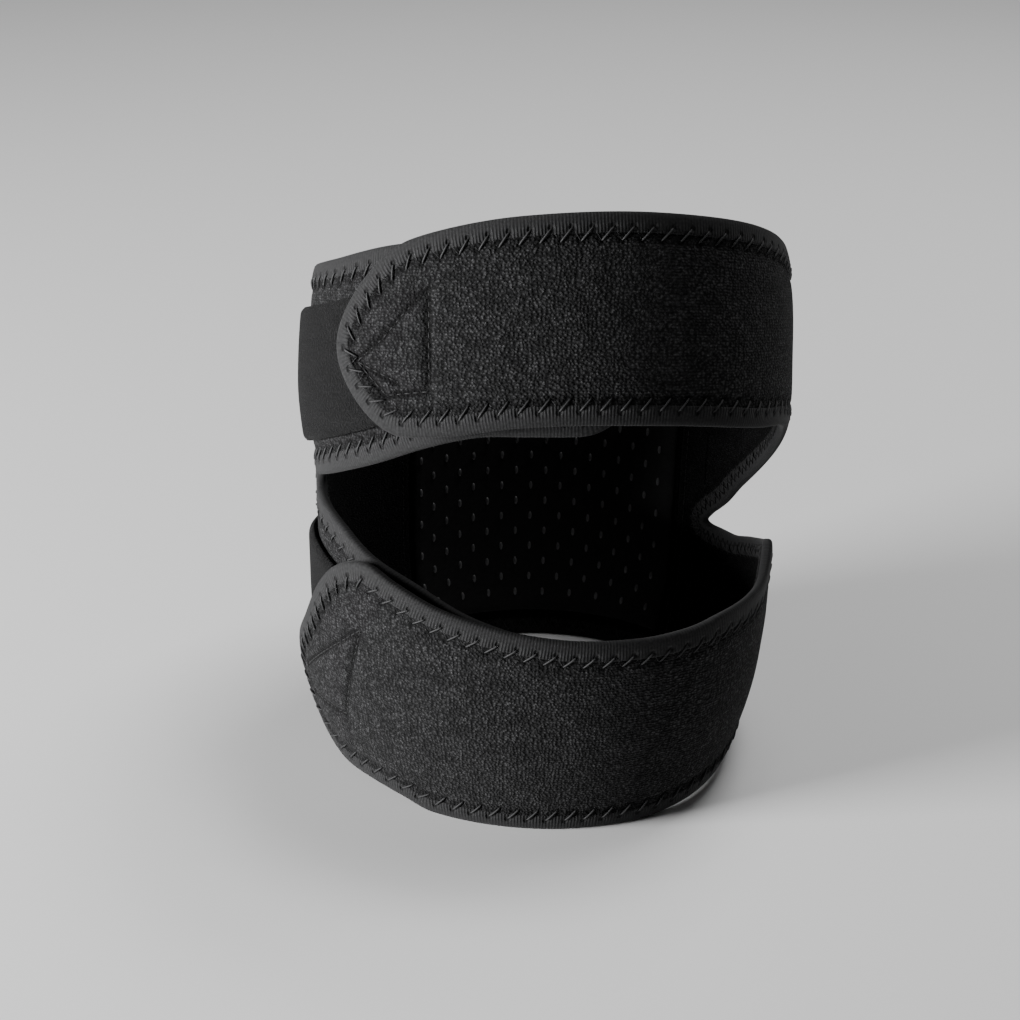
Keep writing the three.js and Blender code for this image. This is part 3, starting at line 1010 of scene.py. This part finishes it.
@dataclass(frozen=True)
class LoopFinish:
    """Brushed loop patch: a short even nap with hardly any grain."""

    low: Triple = (0.0025, 0.0025, 0.0026)
    high: Triple = (0.0125, 0.0125, 0.0128)

    def build(self) -> bpy.types.Material:
        """Makes the material: very fine noise over a slow drift of tone.

        Returns:
            The material.
        """
        n = ShaderNodes("loop")
        place, u, v = n.uv()
        nap = n.span(n.noise(place, 1.5, 6.0), 0.3, 0.7)
        lay = n.noise(n.vector(n.times(u, 0.3), v), 0.35, 3.0)
        share = n.math("MULTIPLY_ADD", lay, 0.5, n.times(nap, 0.5))
        n.surface(n.mix(share, self.low, self.high), 0.95, 0.07, 0.02)
        n.shader.inputs["Sheen Roughness"].default_value = 0.4
        n.bump(nap, 0.00035)
        return n.material


@dataclass(frozen=True)
class TapeFinish:
    """Ribbed elastic tape: fine cross ribs, strongest where it is sewn, and needle holes."""

    ribs_a_stitch: float = 6.0
    groove: Triple = (0.0045, 0.0045, 0.0047)
    crest: Triple = (0.030, 0.030, 0.031)

    def build(self) -> bpy.types.Material:
        """Makes the material: a wave along the tape whose strength grows towards the stitches,
        over a soft weave, and painted shade in spots where the needle went in.

        Returns:
            The material.
        """
        n = ShaderNodes("tape")
        s = Sizes()
        place, u, v = n.uv()
        turns = n.times(u, 2 * np.pi * self.ribs_a_stitch / s.stitch_pitch)
        wave = n.math("SINE", n.math("MULTIPLY_ADD", n.noise(place, 0.7, 4.0), 2.2, turns))
        ribs = n.math("MULTIPLY_ADD", wave, n.span(v, 1.5, 4.0, 0.07, 0.22), 0.5)
        weave = n.span(n.noise(place, 1.5, 5.0), 0.3, 0.7, 0.35, 1.0)
        # Painted shade in the tape's needle holes; the same mask also dents the bump.
        solid = n.hole(u, v, 0.5 - s.stitch_slant / s.stitch_pitch / 2,
                       s.stitch_outer - 0.1, 0.75)
        n.surface(n.mix(n.times(ribs, weave, solid), self.groove, self.crest), 0.8, 0.14, 0.03)
        n.bump(n.math("MULTIPLY_ADD", ribs, 0.7, solid), 0.0004)
        return n.material


@dataclass(frozen=True)
class LiningFinish:
    """Smooth lining under the gripping dots: a tight dark weave."""

    low: Triple = (0.008, 0.008, 0.0082)
    high: Triple = (0.028, 0.028, 0.0288)

    def build(self) -> bpy.types.Material:
        """Makes the material: crossed fine waves for the weave.

        Returns:
            The material.
        """
        n = ShaderNodes("grip")
        place, u, v = n.uv()
        warp = n.math("SINE", n.times(u, 2 * np.pi / 0.7))
        weft = n.math("SINE", n.times(v, 2 * np.pi / 0.55))
        weave = n.math("MULTIPLY_ADD", n.times(warp, weft), 0.5, 0.5)
        grain = n.times(weave, n.noise(place, 0.8, 4.0))
        n.surface(n.mix(grain, self.low, self.high), 0.85, 0.12)
        n.bump(weave, 0.00012)
        return n.material


@dataclass(frozen=True)
class FineFinish:
    """Thread, moulded rubber or floor: one colour with a fine grain."""

    name: str
    colour: Triple
    roughness: float
    specular: float
    grain: float
    darkest: float
    bump: float = 0.0

    def build(self) -> bpy.types.Material:
        """Makes the material: noise on Object coordinates changes the tone and the height.

        Returns:
            The material.
        """
        n = ShaderNodes(self.name)
        grain = n.noise(n.node("ShaderNodeTexCoord").outputs["Object"], self.grain, 2.0)
        dark = tuple(self.darkest * part for part in self.colour)
        n.surface(n.mix(grain, dark, self.colour), self.roughness, self.specular)
        if self.bump:
            n.bump(grain, self.bump)
        return n.material


class Finishes:
    """All the strap's materials, made once."""

    def __init__(self) -> None:
        """Builds the cloths' finishes, then those of the threads, the dots and the hooks."""
        self.knit = KnitFinish().build()
        self.loop = LoopFinish().build()
        self.tape = TapeFinish().build()
        self.lining = LiningFinish().build()
        twist = {"roughness": 0.65, "specular": 0.25, "grain": 2600.0, "darkest": 0.5,
                 "bump": 0.00008}
        peel = {"specular": 0.5, "grain": 1500.0, "darkest": 0.6, "bump": 0.00006}
        self.thread = FineFinish("thread", (0.025, 0.025, 0.026), **twist).build()
        self.inner_thread = FineFinish("inner_thread", (0.014, 0.014, 0.0145), **twist).build()
        self.dots = FineFinish("dots", (0.11, 0.11, 0.113), 0.22, **peel).build()
        self.hooks = FineFinish("hooks", (0.02, 0.02, 0.021), 0.5, **peel).build()


@dataclass
class Panels:
    """The three sheets of foam cloth that the bands are cut from."""

    plan: BandPlan
    finishes: Finishes
    rows: int = 56
    pucker: float = 0.42
    box_groove: float = 0.75
    fill: float = 0.9
    # Grooves beside a seam: distance from it, depth and width.
    SEAM_GROOVES = ((0.0, 0.35, 0.7), (2.4, 0.2, 0.5))
    BOX_REACH = 9.0

    def strip(self, foot: Array, top: Array, low: float, high: float) -> Array:
        """Grid of places between two edges from one angle to another, set back inside the tape;
        the rows lie closer together by the edges, as t - 0.07 sin(2 pi t).

        Args:
            foot: Samples of the lower edge.
            top: Samples of the upper edge, at the same angles.
            low: Angle of the first column.
            high: Angle of the last column.

        Returns:
            Angles and heights, by column and row.
        """
        s = self.plan.sizes
        places = []
        for edge in (foot, top):
            kept = edge[(edge[:, 0] >= low - 1e-6) & (edge[:, 0] <= high + 1e-6)]
            angle, height = self.plan.form.inset(kept, s.edge, 0.0)
            seam = (s.gap / 2) / self.plan.form.scale(kept[:, 0], kept[:, 1])[0]
            angle = angle + np.where(kept[:, 0] == low, seam, 0)
            angle = angle - np.where(kept[:, 0] == high, seam, 0)
            places.append(np.stack([angle, height], -1))
        t = np.linspace(0, 1, self.rows + 1)
        share = (t - 0.07 * np.sin(2 * np.pi * t))[None, :, None]
        return places[0][:, None] * (1 - share) + places[1][:, None] * share

    def grooves(self, angle: Array, height: Array) -> Array:
        """Bell-shaped grooves on each seam and under the rows of stitches beside it.

        Args:
            angle: The places' angles.
            height: Their heights.

        Returns:
            Millimetres that each face is drawn in.
        """
        s = self.plan.sizes
        across = self.plan.form.scale(angle, height)[0]
        drawn = np.zeros(len(angle))
        for seam in (s.left_seam, s.right_seam):
            away = np.abs(angle - seam) * across
            drawn += sum(deep * bell(away - place, wide) for place, deep, wide in self.SEAM_GROOVES)
        return drawn

    def box_distance(self, angle: Array, height: Array) -> Array:
        """Distance from the tabs' box stitching, line by line: to the foot of the perpendicular,
        or to the line's nearer end.

        Args:
            angle: The places' angles.
            height: Their heights.

        Returns:
            Millimetres, at most BOX_REACH.
        """
        across, along = self.plan.form.scale(angle, height)
        nearest = np.full(len(angle), self.BOX_REACH)
        for path in BoxStitch.PATHS:
            corners = np.array(path)
            for start, end in zip(corners[:-1], corners[1:]):
                dx, dy = (end - start) * (across.mean(), along.mean())
                px = (angle - start[0]) * across
                py = (height - start[1]) * along
                t = np.clip((px * dx + py * dy) / (dx * dx + dy * dy), 0, 1)
                nearest = np.minimum(nearest, np.hypot(px - t * dx, py - t * dy))
        return nearest

    def build_panel(self, name: str, low: float, high: float) -> bpy.types.Object:
        """Makes one panel: both bands' grids welded into one thick sheet, whose faces are drawn
        in under the tape, at the seams and along the box stitching, and waved by ripple.

        Args:
            name: The CAD node's name.
            low: Angle where the panel starts.
            high: Angle where it ends.

        Returns:
            The panel.
        """
        plan = self.plan
        s = plan.sizes
        upper = self.strip(plan.upper_foot, plan.upper_top, low, high)
        lower = self.strip(plan.lower_foot, plan.lower_top, low, high)
        triangles = [
            grid_triangles(*upper.shape[:2]),
            grid_triangles(*lower.shape[:2], start=upper.shape[0] * upper.shape[1])]
        places = np.concatenate([upper.reshape(-1, 2), lower.reshape(-1, 2)])
        places, faces = weld(places, np.concatenate(triangles))
        angle, height = places.T
        distance, number = plan.edge_place(angle, height)
        drawn = plan.sheet_depth(distance)
        waves = ripple(angle, height) * step(4.0, 12.0, distance)
        reach = bell(distance - s.tape_width - 0.8, 1.5)
        puckers = self.pucker * reach * (0.3 - plan.pull(number, distance))
        seams = self.grooves(angle, height)
        box = self.box_distance(angle, height)
        outer = s.cloth - drawn - seams - self.box_groove * bell(box, 1.0) + waves + puckers
        inner = drawn + seams + 0.5 * waves
        # Edge places the knit's painted shade at the stitch crease and needle holes.
        maps = {
            "Cloth": cloth_map(angle, height, s.half_width),
            "Edge": np.stack([number * s.stitch_pitch, distance], -1),
        }
        # box and inside place the knit's painted shade along the box stitching and on the inner
        # face.
        values = {
            "box": np.concatenate([box, np.full(len(box), self.BOX_REACH)]),
            "inside": np.repeat([0.0, 1.0], len(box)),
        }
        points = plan.form.both_faces(angle, height, outer, inner)
        made = make_sheet(name, points, faces, self.finishes.knit, maps, values)
        return made

    def build(self) -> list[bpy.types.Object]:
        """Makes the wing, back and strap panels.

        Returns:
            The three panels.
        """
        s = self.plan.sizes
        return [
            self.build_panel("wing_panel", -360.0, s.left_seam),
            self.build_panel("back_panel", s.left_seam, s.right_seam),
            self.build_panel("strap_panel", s.right_seam, 720.0),
        ]


@dataclass
class EdgeTape:
    """The folded tape along the four runs of edge."""

    plan: BandPlan
    finishes: Finishes
    press: float = 0.34
    clear: float = 0.04
    # Distance inward from the fold, and height over the cloth's drawn-in face.
    PROFILE = ((5.0, 0.08), (4.9, 0.30), (4.55, 0.44), (4.1, 0.52), (3.6, 0.56), (3.0, 0.60),
               (2.2, 0.62), (1.3, 0.58), (0.55, 0.42), (0.16, 0.08), (0.0, -0.38))
    INNER = (0.72, 2.4, 5.0)
    HOLDERS = {
        Run.UPPER_RIM: ("wing_panel", "back_panel", "strap_panel"),
        Run.RIGHT_NOTCH: ("strap_panel",),
        Run.LOWER_RIM: ("wing_panel", "back_panel", "strap_panel"),
        Run.LEFT_NOTCH: ("wing_panel",),
    }

    def build_run(self, run: Run) -> bpy.types.Object:
        """Carries the tape's closed profile along one run: the outer path over the fold, and
        back along the inner faces; the sewn edge dips at every needle hole.

        Args:
            run: The run of edge.

        Returns:
            The tape.
        """
        plan = self.plan
        s = plan.sizes
        edge = plan.runs[run]
        number = plan.stitches(edge)
        inward, over = np.array(self.PROFILE).T
        inner = np.array(self.INNER)
        top = s.cloth - plan.pinched(inward) + over
        under = s.cloth - plan.pinched(inner) + self.clear
        dip = self.press * step(2.4, 4.1, inward)
        across = np.concatenate([inward, inward[::-1], inner[::-1], inner])
        depth = np.concatenate([top, s.cloth - top[::-1], s.cloth - under[::-1], under])
        dips = np.concatenate([dip, -dip[::-1], np.zeros(2 * len(inner))])
        pull = plan.pull(number[:, None], across[None, :])
        angle, height = plan.form.inset(edge[:, None, :], across[None, :], 0.0)
        points = plan.form.point(angle, height, depth[None] - dips[None] * pull)
        along = number[:, None] * s.stitch_pitch
        pairs = np.stack(np.broadcast_arrays(along, across[None, :]), -1).reshape(-1, 2)
        made = make_object(run.value, points.reshape(-1, 3),
                           tube_faces(1, *angle.shape), self.finishes.tape, {"Cloth": pairs})
        return made

    def build(self) -> list[bpy.types.Object]:
        """Makes the tape of all four runs."""
        return [self.build_run(run) for run in Run]


@dataclass
class ThreadMaker:
    """Makes many short threads on the cloth at once."""

    plan: BandPlan
    sides: int = 6
    taper: float = 0.6

    def threads(
        self, base: Array, path: Array, over: Array, radius: float, side: Side
    ) -> tuple[Array, list[Array]]:
        """Carries a small ring along the same path at every base sample, narrower at its ends.

        Args:
            base: Edge samples that the threads start from.
            path: Points of one thread, millimetres onward and inward.
            over: Height of each path point over the cloth's face.
            radius: Thread radius.
            side: Face of the cloth.

        Returns:
            Vertices, and the side and end faces.
        """
        run = np.gradient(path, axis=0)
        run /= np.linalg.norm(run, axis=1, keepdims=True)
        square = np.stack([-run[:, 1], run[:, 0]], -1)
        turn = np.linspace(0, 2 * np.pi, self.sides, endpoint=False)
        taper = np.ones(len(path))
        taper[[0, -1]] = self.taper
        flat = path[:, None] + radius * (taper[:, None] * np.cos(turn))[..., None] * square[:, None]
        rise = over[:, None] + radius * taper[:, None] * np.sin(turn)
        inward = np.broadcast_to(flat[None, ..., 1], (len(base), *rise.shape))
        face = self.plan.sizes.cloth if side is Side.OUTSIDE else 0.0
        angle, height = self.plan.form.inset(base[:, None, None, :], inward, flat[None, ..., 0])
        points = self.plan.form.point(angle, height, face + side.value * rise[None])
        faces = tube_faces(*points.shape[:3], turned=side is Side.INSIDE)
        return points.reshape(-1, 3), faces

    def join(self, name: str, parts: list[tuple[Array, list[Array]]],
             material: bpy.types.Material) -> bpy.types.Object:
        """Joins several sets of threads into one object.

        Args:
            name: Object name.
            parts: Vertices and faces of each set.
            material: The thread's finish.

        Returns:
            The new object.
        """
        start, moved = 0, []
        for points, faces in parts:
            moved.append([block + start for block in faces])
            start += len(points)
        faces = [np.concatenate(blocks) for blocks in zip(*moved)]
        points = np.concatenate([part[0] for part in parts])
        return make_object(name, points, faces, material)

    def along(self, corners: Array, pitch: float) -> Array:
        """Base samples at an even pitch along a path, each turned so that onward runs along it.

        Args:
            corners: Angles and heights of the path's corners.
            pitch: Millimetres from sample to sample, about.

        Returns:
            Edge samples.
        """
        pieces = []
        for start, end in zip(corners[:-1], corners[1:]):
            across, along = self.plan.form.scale(start[:1], start[1:])
            span = (end - start) * (across[0], along[0])
            length = float(np.hypot(*span))
            count = max(1, int(round(length / pitch)))
            t = (np.arange(count) + 0.5) / count
            places = start + (end - start) * t[:, None]
            normal = np.array([span[1], -span[0]]) / length
            pieces.append(np.concatenate([places, np.tile(normal, (count, 1))], 1))
        return np.concatenate(pieces)


@dataclass
class TapeStitches:
    """Stitches that sew the tape down: a slanted zigzag outside, a crossed lattice inside."""

    maker: ThreadMaker
    finishes: Finishes
    bar_radius: float = 0.24
    return_radius: float = 0.13
    lattice_radius: float = 0.17
    # A bar's points: share of the way from its outer to its inner end, height over the cloth.
    BAR = ((0.0, 0.05), (0.14, 0.34), (0.36, 0.32), (0.6, 0.12), (0.84, -0.12), (1.0, -0.48))
    # A lattice thread's points: onward, inward, height over the cloth.
    LATTICE = ((-1.2, 1.5, 0.30), (-0.4, 2.8, 0.50), (0.4, 4.2, 0.34), (1.2, 5.6, -0.20))

    def build_run(self, run: Run) -> list[bpy.types.Object]:
        """Makes the stitches of one run: slanted bars, the thinner threads that lead back from
        bar to bar, and inside two sets of threads that cross.

        Args:
            run: The run of edge.

        Returns:
            The outer and the inner stitches.
        """
        maker = self.maker
        s = maker.plan.sizes
        edge = maker.plan.runs[run]
        single, double = maker.plan.paced(edge), maker.plan.paced(edge, 0.5)
        t, over = np.array(self.BAR).T
        inward = s.stitch_outer + (s.stitch_inner - s.stitch_outer) * t
        bar = np.stack([s.stitch_slant * (t - 0.5), inward], -1)
        onward = s.stitch_pitch / 2 + (s.stitch_pitch - s.stitch_slant) * (0.5 - t)
        back = np.stack([onward, inward], -1)[::-1]
        low = over[::-1] - self.bar_radius
        outer = maker.join(
            f"{run.value}_stitches",
            [maker.threads(single, bar, over, self.bar_radius, Side.OUTSIDE),
             maker.threads(single[:-1], back, low, self.return_radius, Side.OUTSIDE)],
            self.finishes.thread)
        rising, over = np.array(self.LATTICE)[:, :2], np.array(self.LATTICE)[:, 2]
        inner = maker.join(
            f"{run.value}_lattice",
            [maker.threads(double, rising, over, self.lattice_radius, Side.INSIDE),
             maker.threads(double, rising * (-1, 1), over + 0.05, self.lattice_radius,
                           Side.INSIDE)],
            self.finishes.inner_thread)
        return [outer, inner]

    def build(self) -> list[bpy.types.Object]:
        """Makes the stitches of all four runs."""
        return [made for run in Run for made in self.build_run(run)]


@dataclass
class BoxStitch:
    """Crossed lines of stitching that hold the hook pads on the tabs, and the seams' rows."""

    maker: ThreadMaker
    finishes: Finishes
    pitch: float = 2.3
    seam_offset: float = 2.4
    seam_end: float = 6.5
    seam_rise: float = 0.74
    box_radius: float = 0.18
    seam_radius: float = 0.17
    # Corners of the lines on the tabs: angle and height.
    PATHS = (
        ((386.0, 120.0), (385.0, 99.5), (395.0, 98.0), (403.0, 104.5), (396.5, 109.5),
         (391.0, 115.5), (386.0, 120.0)),
        ((403.0, 104.5), (391.0, 100.5)),
        ((404.5, 44.0), (412.0, 19.5), (431.0, 17.0), (432.5, 24.0), (404.5, 44.0)),
    )
    # One stitch: share of its half length, height over the cloth.
    DASH = ((-1.0, -1.00), (-0.7, -0.76), (0.0, -0.68), (0.7, -0.76), (1.0, -1.00))

    def build(self) -> list[bpy.types.Object]:
        """Makes the box stitching, and double rows on both faces beside each seam.

        Returns:
            Both sets of stitches.
        """
        maker = self.maker
        share, over = np.array(self.DASH).T
        path = np.stack([share * (0.42 * self.pitch), np.zeros(len(share))], -1)
        boxes = [
            maker.threads(maker.along(np.array(line), self.pitch), path, over, self.box_radius,
                          Side.OUTSIDE)
            for line in self.PATHS
        ]
        made = [maker.join("tab_stitches", boxes, self.finishes.inner_thread)]
        s = maker.plan.sizes
        rim = maker.plan.upper_top
        rows = []
        for seam in (s.left_seam, s.right_seam):
            top = float(np.interp(seam, rim[:, 0], rim[:, 1]))
            line = np.array([(seam, self.seam_end), (seam, top / 2), (seam, top - self.seam_end)])
            base = maker.along(line, self.pitch)
            for sign in (-1, 1):
                shift = path + (0.0, sign * self.seam_offset)
                for side in Side:
                    rows.append(maker.threads(
                        base, shift, over + self.seam_rise, self.seam_radius, side))
        made.append(maker.join("seam_stitches", rows, self.finishes.inner_thread))
        return made


@dataclass
class LoopPatches:
    """Brushed patches on the outer faces of the wings."""

    plan: BandPlan
    finishes: Finishes
    columns: int = 150
    rows: int = 40
    rounding: float = 0.9
    fill: float = 0.8

    def build_patch(self, name: str, low: Edge, high: Edge) -> bpy.types.Object:
        """Makes one patch: an even grid between the wing's edges, thinner at its border by the
        rounding times a falling curve of the distance from the border.

        Args:
            name: The CAD node's name.
            low: The wing's lower edge.
            high: The wing's upper edge.

        Returns:
            The patch.
        """
        form, s = self.plan.form, self.plan.sizes
        t = np.linspace(0, 1, self.columns + 1)
        angle = s.patch_rear * (t - 0.11 * np.sin(2 * np.pi * t) / 2)
        foot = form.raised(angle, low.at(angle), s.tape_width + s.patch_inset)
        top = form.raised(angle, high.at(angle), -(s.tape_width + s.patch_top_inset))
        r = np.linspace(0, 1, self.rows + 1)
        share = r - 0.12 * np.sin(2 * np.pi * r)
        angle, height, border = form.between(angle, foot, top, share)[:3]
        inner = s.cloth + s.gap
        outer = inner + s.patch - self.rounding * np.exp(-((border / 0.7) ** 1.4))
        outer = outer + 0.4 * ripple(angle, height)
        made = make_sheet(
            name, form.both_faces(angle, height, outer, inner),
            grid_triangles(*height.shape), self.finishes.loop,
            {"Cloth": cloth_map(angle, height, s.half_width)})
        return made

    def build(self) -> list[bpy.types.Object]:
        """Makes both patches.

        Returns:
            The upper and the lower patch.
        """
        upper, lower = self.plan.upper, self.plan.lower
        return [
            self.build_patch("upper_loop_patch", upper.wing, upper.outer),
            self.build_patch("lower_loop_patch", lower.outer, lower.wing),
        ]


@dataclass
class GripLining:
    """Lining inside the back panel with its raised dots."""

    plan: BandPlan
    finishes: Finishes
    columns: int = 90
    rows: int = 110
    dot_pitch: float = 9.0
    dot_half_width: float = 0.62
    dot_half_height: float = 1.25
    dot_rise: float = 0.62
    dot_sink: float = 0.12
    dot_sides: int = 12
    dot_clear: float = 2.5
    dot_side_clear: float = 1.5
    # Rings of a dot: degrees of a quarter turn from its foot to its top.
    DOT_RINGS = (0.0, 25.0, 50.0, 72.0)

    def middle_scale(self) -> tuple[float, float]:
        """Millimetres for a degree and for one of spine, in the lining's middle."""
        across, along = self.plan.form.scale(np.array([180.0]), np.array([60.0]))
        return float(across[0]), float(along[0])

    def bounds(self) -> tuple[float, float]:
        """Angles between which the lining lies."""
        s, side = self.plan.sizes, self.plan.sizes.grip_side / self.middle_scale()[0]
        return s.left_seam + side, s.right_seam - side

    def edges(self, angle: Array) -> tuple[Array, Array]:
        """Heights of the lining's lower and upper border.

        Args:
            angle: Angles to read.

        Returns:
            The lower and the upper heights.
        """
        plan = self.plan
        margin = plan.sizes.tape_width + plan.sizes.grip_inset
        foot = plan.form.raised(angle, plan.lower.outer.at(angle), margin)
        return foot, plan.form.raised(angle, plan.upper.outer.at(angle), -margin)

    def build_sheet(self) -> bpy.types.Object:
        """Makes the lining: an even grid with a border that thins out.

        Returns:
            The lining.
        """
        form, s = self.plan.form, self.plan.sizes
        low, high = self.bounds()
        angle = np.linspace(low, high, self.columns + 1)
        foot, top = self.edges(angle)
        share = np.linspace(0, 1, self.rows + 1)
        angle, height, border, across, along = form.between(angle, foot, top, share)
        rise = s.grip * (0.35 + 0.65 * step(0.0, 1.6, border))
        made = make_sheet(
            "grip_pad", form.both_faces(angle, height, -s.gap, -s.gap - rise),
            grid_triangles(*height.shape), self.finishes.lining,
            {"Cloth": cloth_map(angle, height, s.half_depth)})
        return made

    def dot_places(self) -> tuple[Array, Array]:
        """Places of the dots: a square grid and a second one moved half a pitch, clear of the
        lining's border.

        Returns:
            Angles and heights.
        """
        low, high = self.bounds()
        across, up = (self.dot_pitch / scale for scale in self.middle_scale())
        a = np.arange(low + across / 4, high - across / 8, across)
        h = np.arange(10.0, 116.0, up)
        first = np.stack(np.meshgrid(a, h, indexing="ij"), -1).reshape(-1, 2)
        angle, height = np.concatenate([first, first + (across / 2, up / 2)]).T
        foot, top = self.edges(angle)
        inside = (height > foot + self.dot_clear) & (height < top - self.dot_clear)
        inside &= (angle > low + self.dot_side_clear) & (angle < high - self.dot_side_clear)
        return angle[inside], height[inside]

    def build_dots(self) -> bpy.types.Object:
        """Makes the dots: domes on an upright ellipse, with a ring at each share of a quarter
        turn, as wide as its cosine and as high as its sine.

        Returns:
            All dots as one object.
        """
        s = self.plan.sizes
        angle, height = self.dot_places()
        turn = np.linspace(0, 2 * np.pi, self.dot_sides, endpoint=False)
        rise = np.radians(self.DOT_RINGS)[:, None]
        x = (self.dot_half_width * np.cos(rise) * np.cos(turn)).ravel()
        y = (self.dot_half_height * np.cos(rise) * np.sin(turn)).ravel()
        z = np.repeat(self.dot_rise * np.sin(rise) - self.dot_sink, self.dot_sides)
        across, along = self.plan.form.scale(angle, height)
        points = self.plan.form.point(
            angle[:, None] + x / across[:, None], height[:, None] + y / along[:, None],
            -s.gap - s.grip - z[None])
        faces = tube_faces(len(angle), len(rise), self.dot_sides, turned=True)
        return make_object("grip_dots", points.reshape(-1, 3), faces, self.finishes.dots)

    def build(self) -> list[bpy.types.Object]:
        """Makes the lining and its dots."""
        return [self.build_sheet(), self.build_dots()]


@dataclass
class HookPads:
    """The hidden hook pads keep their CAD shape and get their finish."""

    finishes: Finishes

    def build(self) -> list[bpy.types.Object]:
        """Gives both pads the hooks' material.

        Returns:
            The two pads of the frame.
        """
        pads = [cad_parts[name] for name in ("upper_hook_pad", "lower_hook_pad")]
        for pad in pads:
            pad.data.materials.clear()
            pad.data.materials.append(self.finishes.hooks)
        return pads


@dataclass(frozen=True)
class Lamp:
    """A square soft light that faces a point; places and size in metres, power in watts."""

    name: str
    place: Triple
    aim: Triple
    size: float
    power: float

    def build(self) -> None:
        """Adds the light to the scene."""
        data = bpy.data.lights.new(self.name, "AREA")
        data.size = self.size
        data.energy = self.power
        light = bpy.data.objects.new(self.name, data)
        light.location = self.place
        line = Vector(self.aim) - Vector(self.place)
        light.rotation_euler = line.to_track_quat("-Z", "Y").to_euler()
        bpy.context.scene.collection.objects.link(light)


@dataclass
class Studio:
    """Camera, pale floor and soft lights."""

    form: LegForm
    elevation: float = 27.0
    roll: float = 1.4
    distance: float = 552.0
    focal_pixels: float = 2015.0
    picture: float = 1020.0
    sensor: float = 36.0
    target: Triple = (-9.6, 14.0, 57.1)
    floor_tone: Triple = (0.80, 0.80, 0.80)
    floor_half: float = 4.0
    world_tone: float = 0.9
    world_strength: float = 0.022
    LAMPS = (
        Lamp("key", (-1.01, -0.38, 0.19), (0.0, 0.0, 0.08), 0.35, 44.0),
        Lamp("top", (0.30, 0.38, 1.15), (0.0, 0.05, 0.0), 0.5, 10.0),
        Lamp("rim", (0.9, 0.45, 0.30), (0.0, 0.0, 0.08), 0.25, 0.8),
    )

    def camera(self) -> None:
        """Places the camera on the photo's line of sight: the target plus the distance along a
        line at the elevation above the horizon, rolled a little."""
        turn, roll = np.radians(self.elevation), np.radians(self.roll)
        back = np.array([0.0, -np.cos(turn), np.sin(turn)])
        right = np.array([1.0, 0.0, 0.0])
        up = np.cross(back, right)
        rolled = right * np.cos(roll) + up * np.sin(roll)
        up = up * np.cos(roll) - right * np.sin(roll)
        eye = (np.array(self.target) + self.form.shift + back * self.distance) * MM
        data = bpy.data.cameras.new("camera")
        data.sensor_width = self.sensor
        data.lens = self.focal_pixels / self.picture * self.sensor
        camera = bpy.data.objects.new("camera", data)
        matrix = np.eye(4)
        matrix[:3] = np.stack([rolled, up, back, eye], 1)
        camera.matrix_world = Matrix(matrix.tolist())
        bpy.context.scene.collection.objects.link(camera)
        bpy.context.scene.camera = camera

    def floor(self) -> None:
        """Makes the pale floor: one large square under the strap."""
        half = self.floor_half
        mesh = bpy.data.meshes.new("floor")
        corners = [(-half, -half, 0), (half, -half, 0), (half, half, 0), (-half, half, 0)]
        mesh.from_pydata(corners, [], [(0, 1, 2, 3)])
        finish = FineFinish("floor", self.floor_tone, 0.7, 0.1, grain=3.0, darkest=0.985)
        mesh.materials.append(finish.build())
        floor = bpy.data.objects.new("floor", mesh)
        bpy.context.scene.collection.objects.link(floor)

    def build(self) -> None:
        """Makes the camera, the floor, the lights and the grey surroundings."""
        self.camera()
        self.floor()
        for lamp in self.LAMPS:
            lamp.build()
        world = bpy.data.worlds.new("studio")
        world.use_nodes = True
        background = world.node_tree.nodes["Background"]
        background.inputs["Color"].default_value = (*[self.world_tone] * 3, 1.0)
        background.inputs["Strength"].default_value = self.world_strength
        bpy.context.scene.world = world


def strap_shift(form: LegForm, plan: BandPlan) -> Array:
    """How far the form is moved so that the origin is the middle of the strap's box: the middle
    of the lower rim's tape in the frame minus its middle on the unmoved form.

    Args:
        form: The leg form, still unmoved.
        plan: The bands on it.

    Returns:
        The shift in millimetres, level.
    """
    run = plan.runs[Run.LOWER_RIM]
    s = form.sizes
    inward = np.array([0.0, s.tape * 0.8, s.tape_width])
    low = np.array([[-s.gap], [-s.edge], [-s.edge]])
    high = np.array([[s.cloth + s.gap], [s.cloth + s.edge], [s.cloth + s.edge]])
    angle, height = form.inset(run[:, None, :], inward[None], 0.0)
    points = form.both_faces(angle, height, low.T, high.T)
    target = np.mean(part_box("lower_rim_binding"), axis=0) / MM
    middle = (points.min(0) + points.max(0)) / 2
    return np.array([target[0] - middle[0], target[1] - middle[1], 0.0])


def main() -> None:
    """Builds every piece in order and reports it."""
    logging.basicConfig(level=logging.INFO, format="%(message)s")
    form = LegForm(Sizes())
    plan = BandPlan(form)
    form.shift = strap_shift(form, plan)
    log.info("shift of the form: %s mm", np.round(form.shift, 3))
    finishes = Finishes()
    maker = ThreadMaker(plan)
    Studio(form).build()
    builders = [
        Panels(plan, finishes),
        EdgeTape(plan, finishes),
        TapeStitches(maker, finishes),
        BoxStitch(maker, finishes),
        LoopPatches(plan, finishes),
        GripLining(plan, finishes),
        HookPads(finishes),
    ]
    for builder in builders:
        for made in builder.build():
            log.info("%s: %d faces", made.name, len(made.data.polygons))


if __name__ == "__main__":
    main()
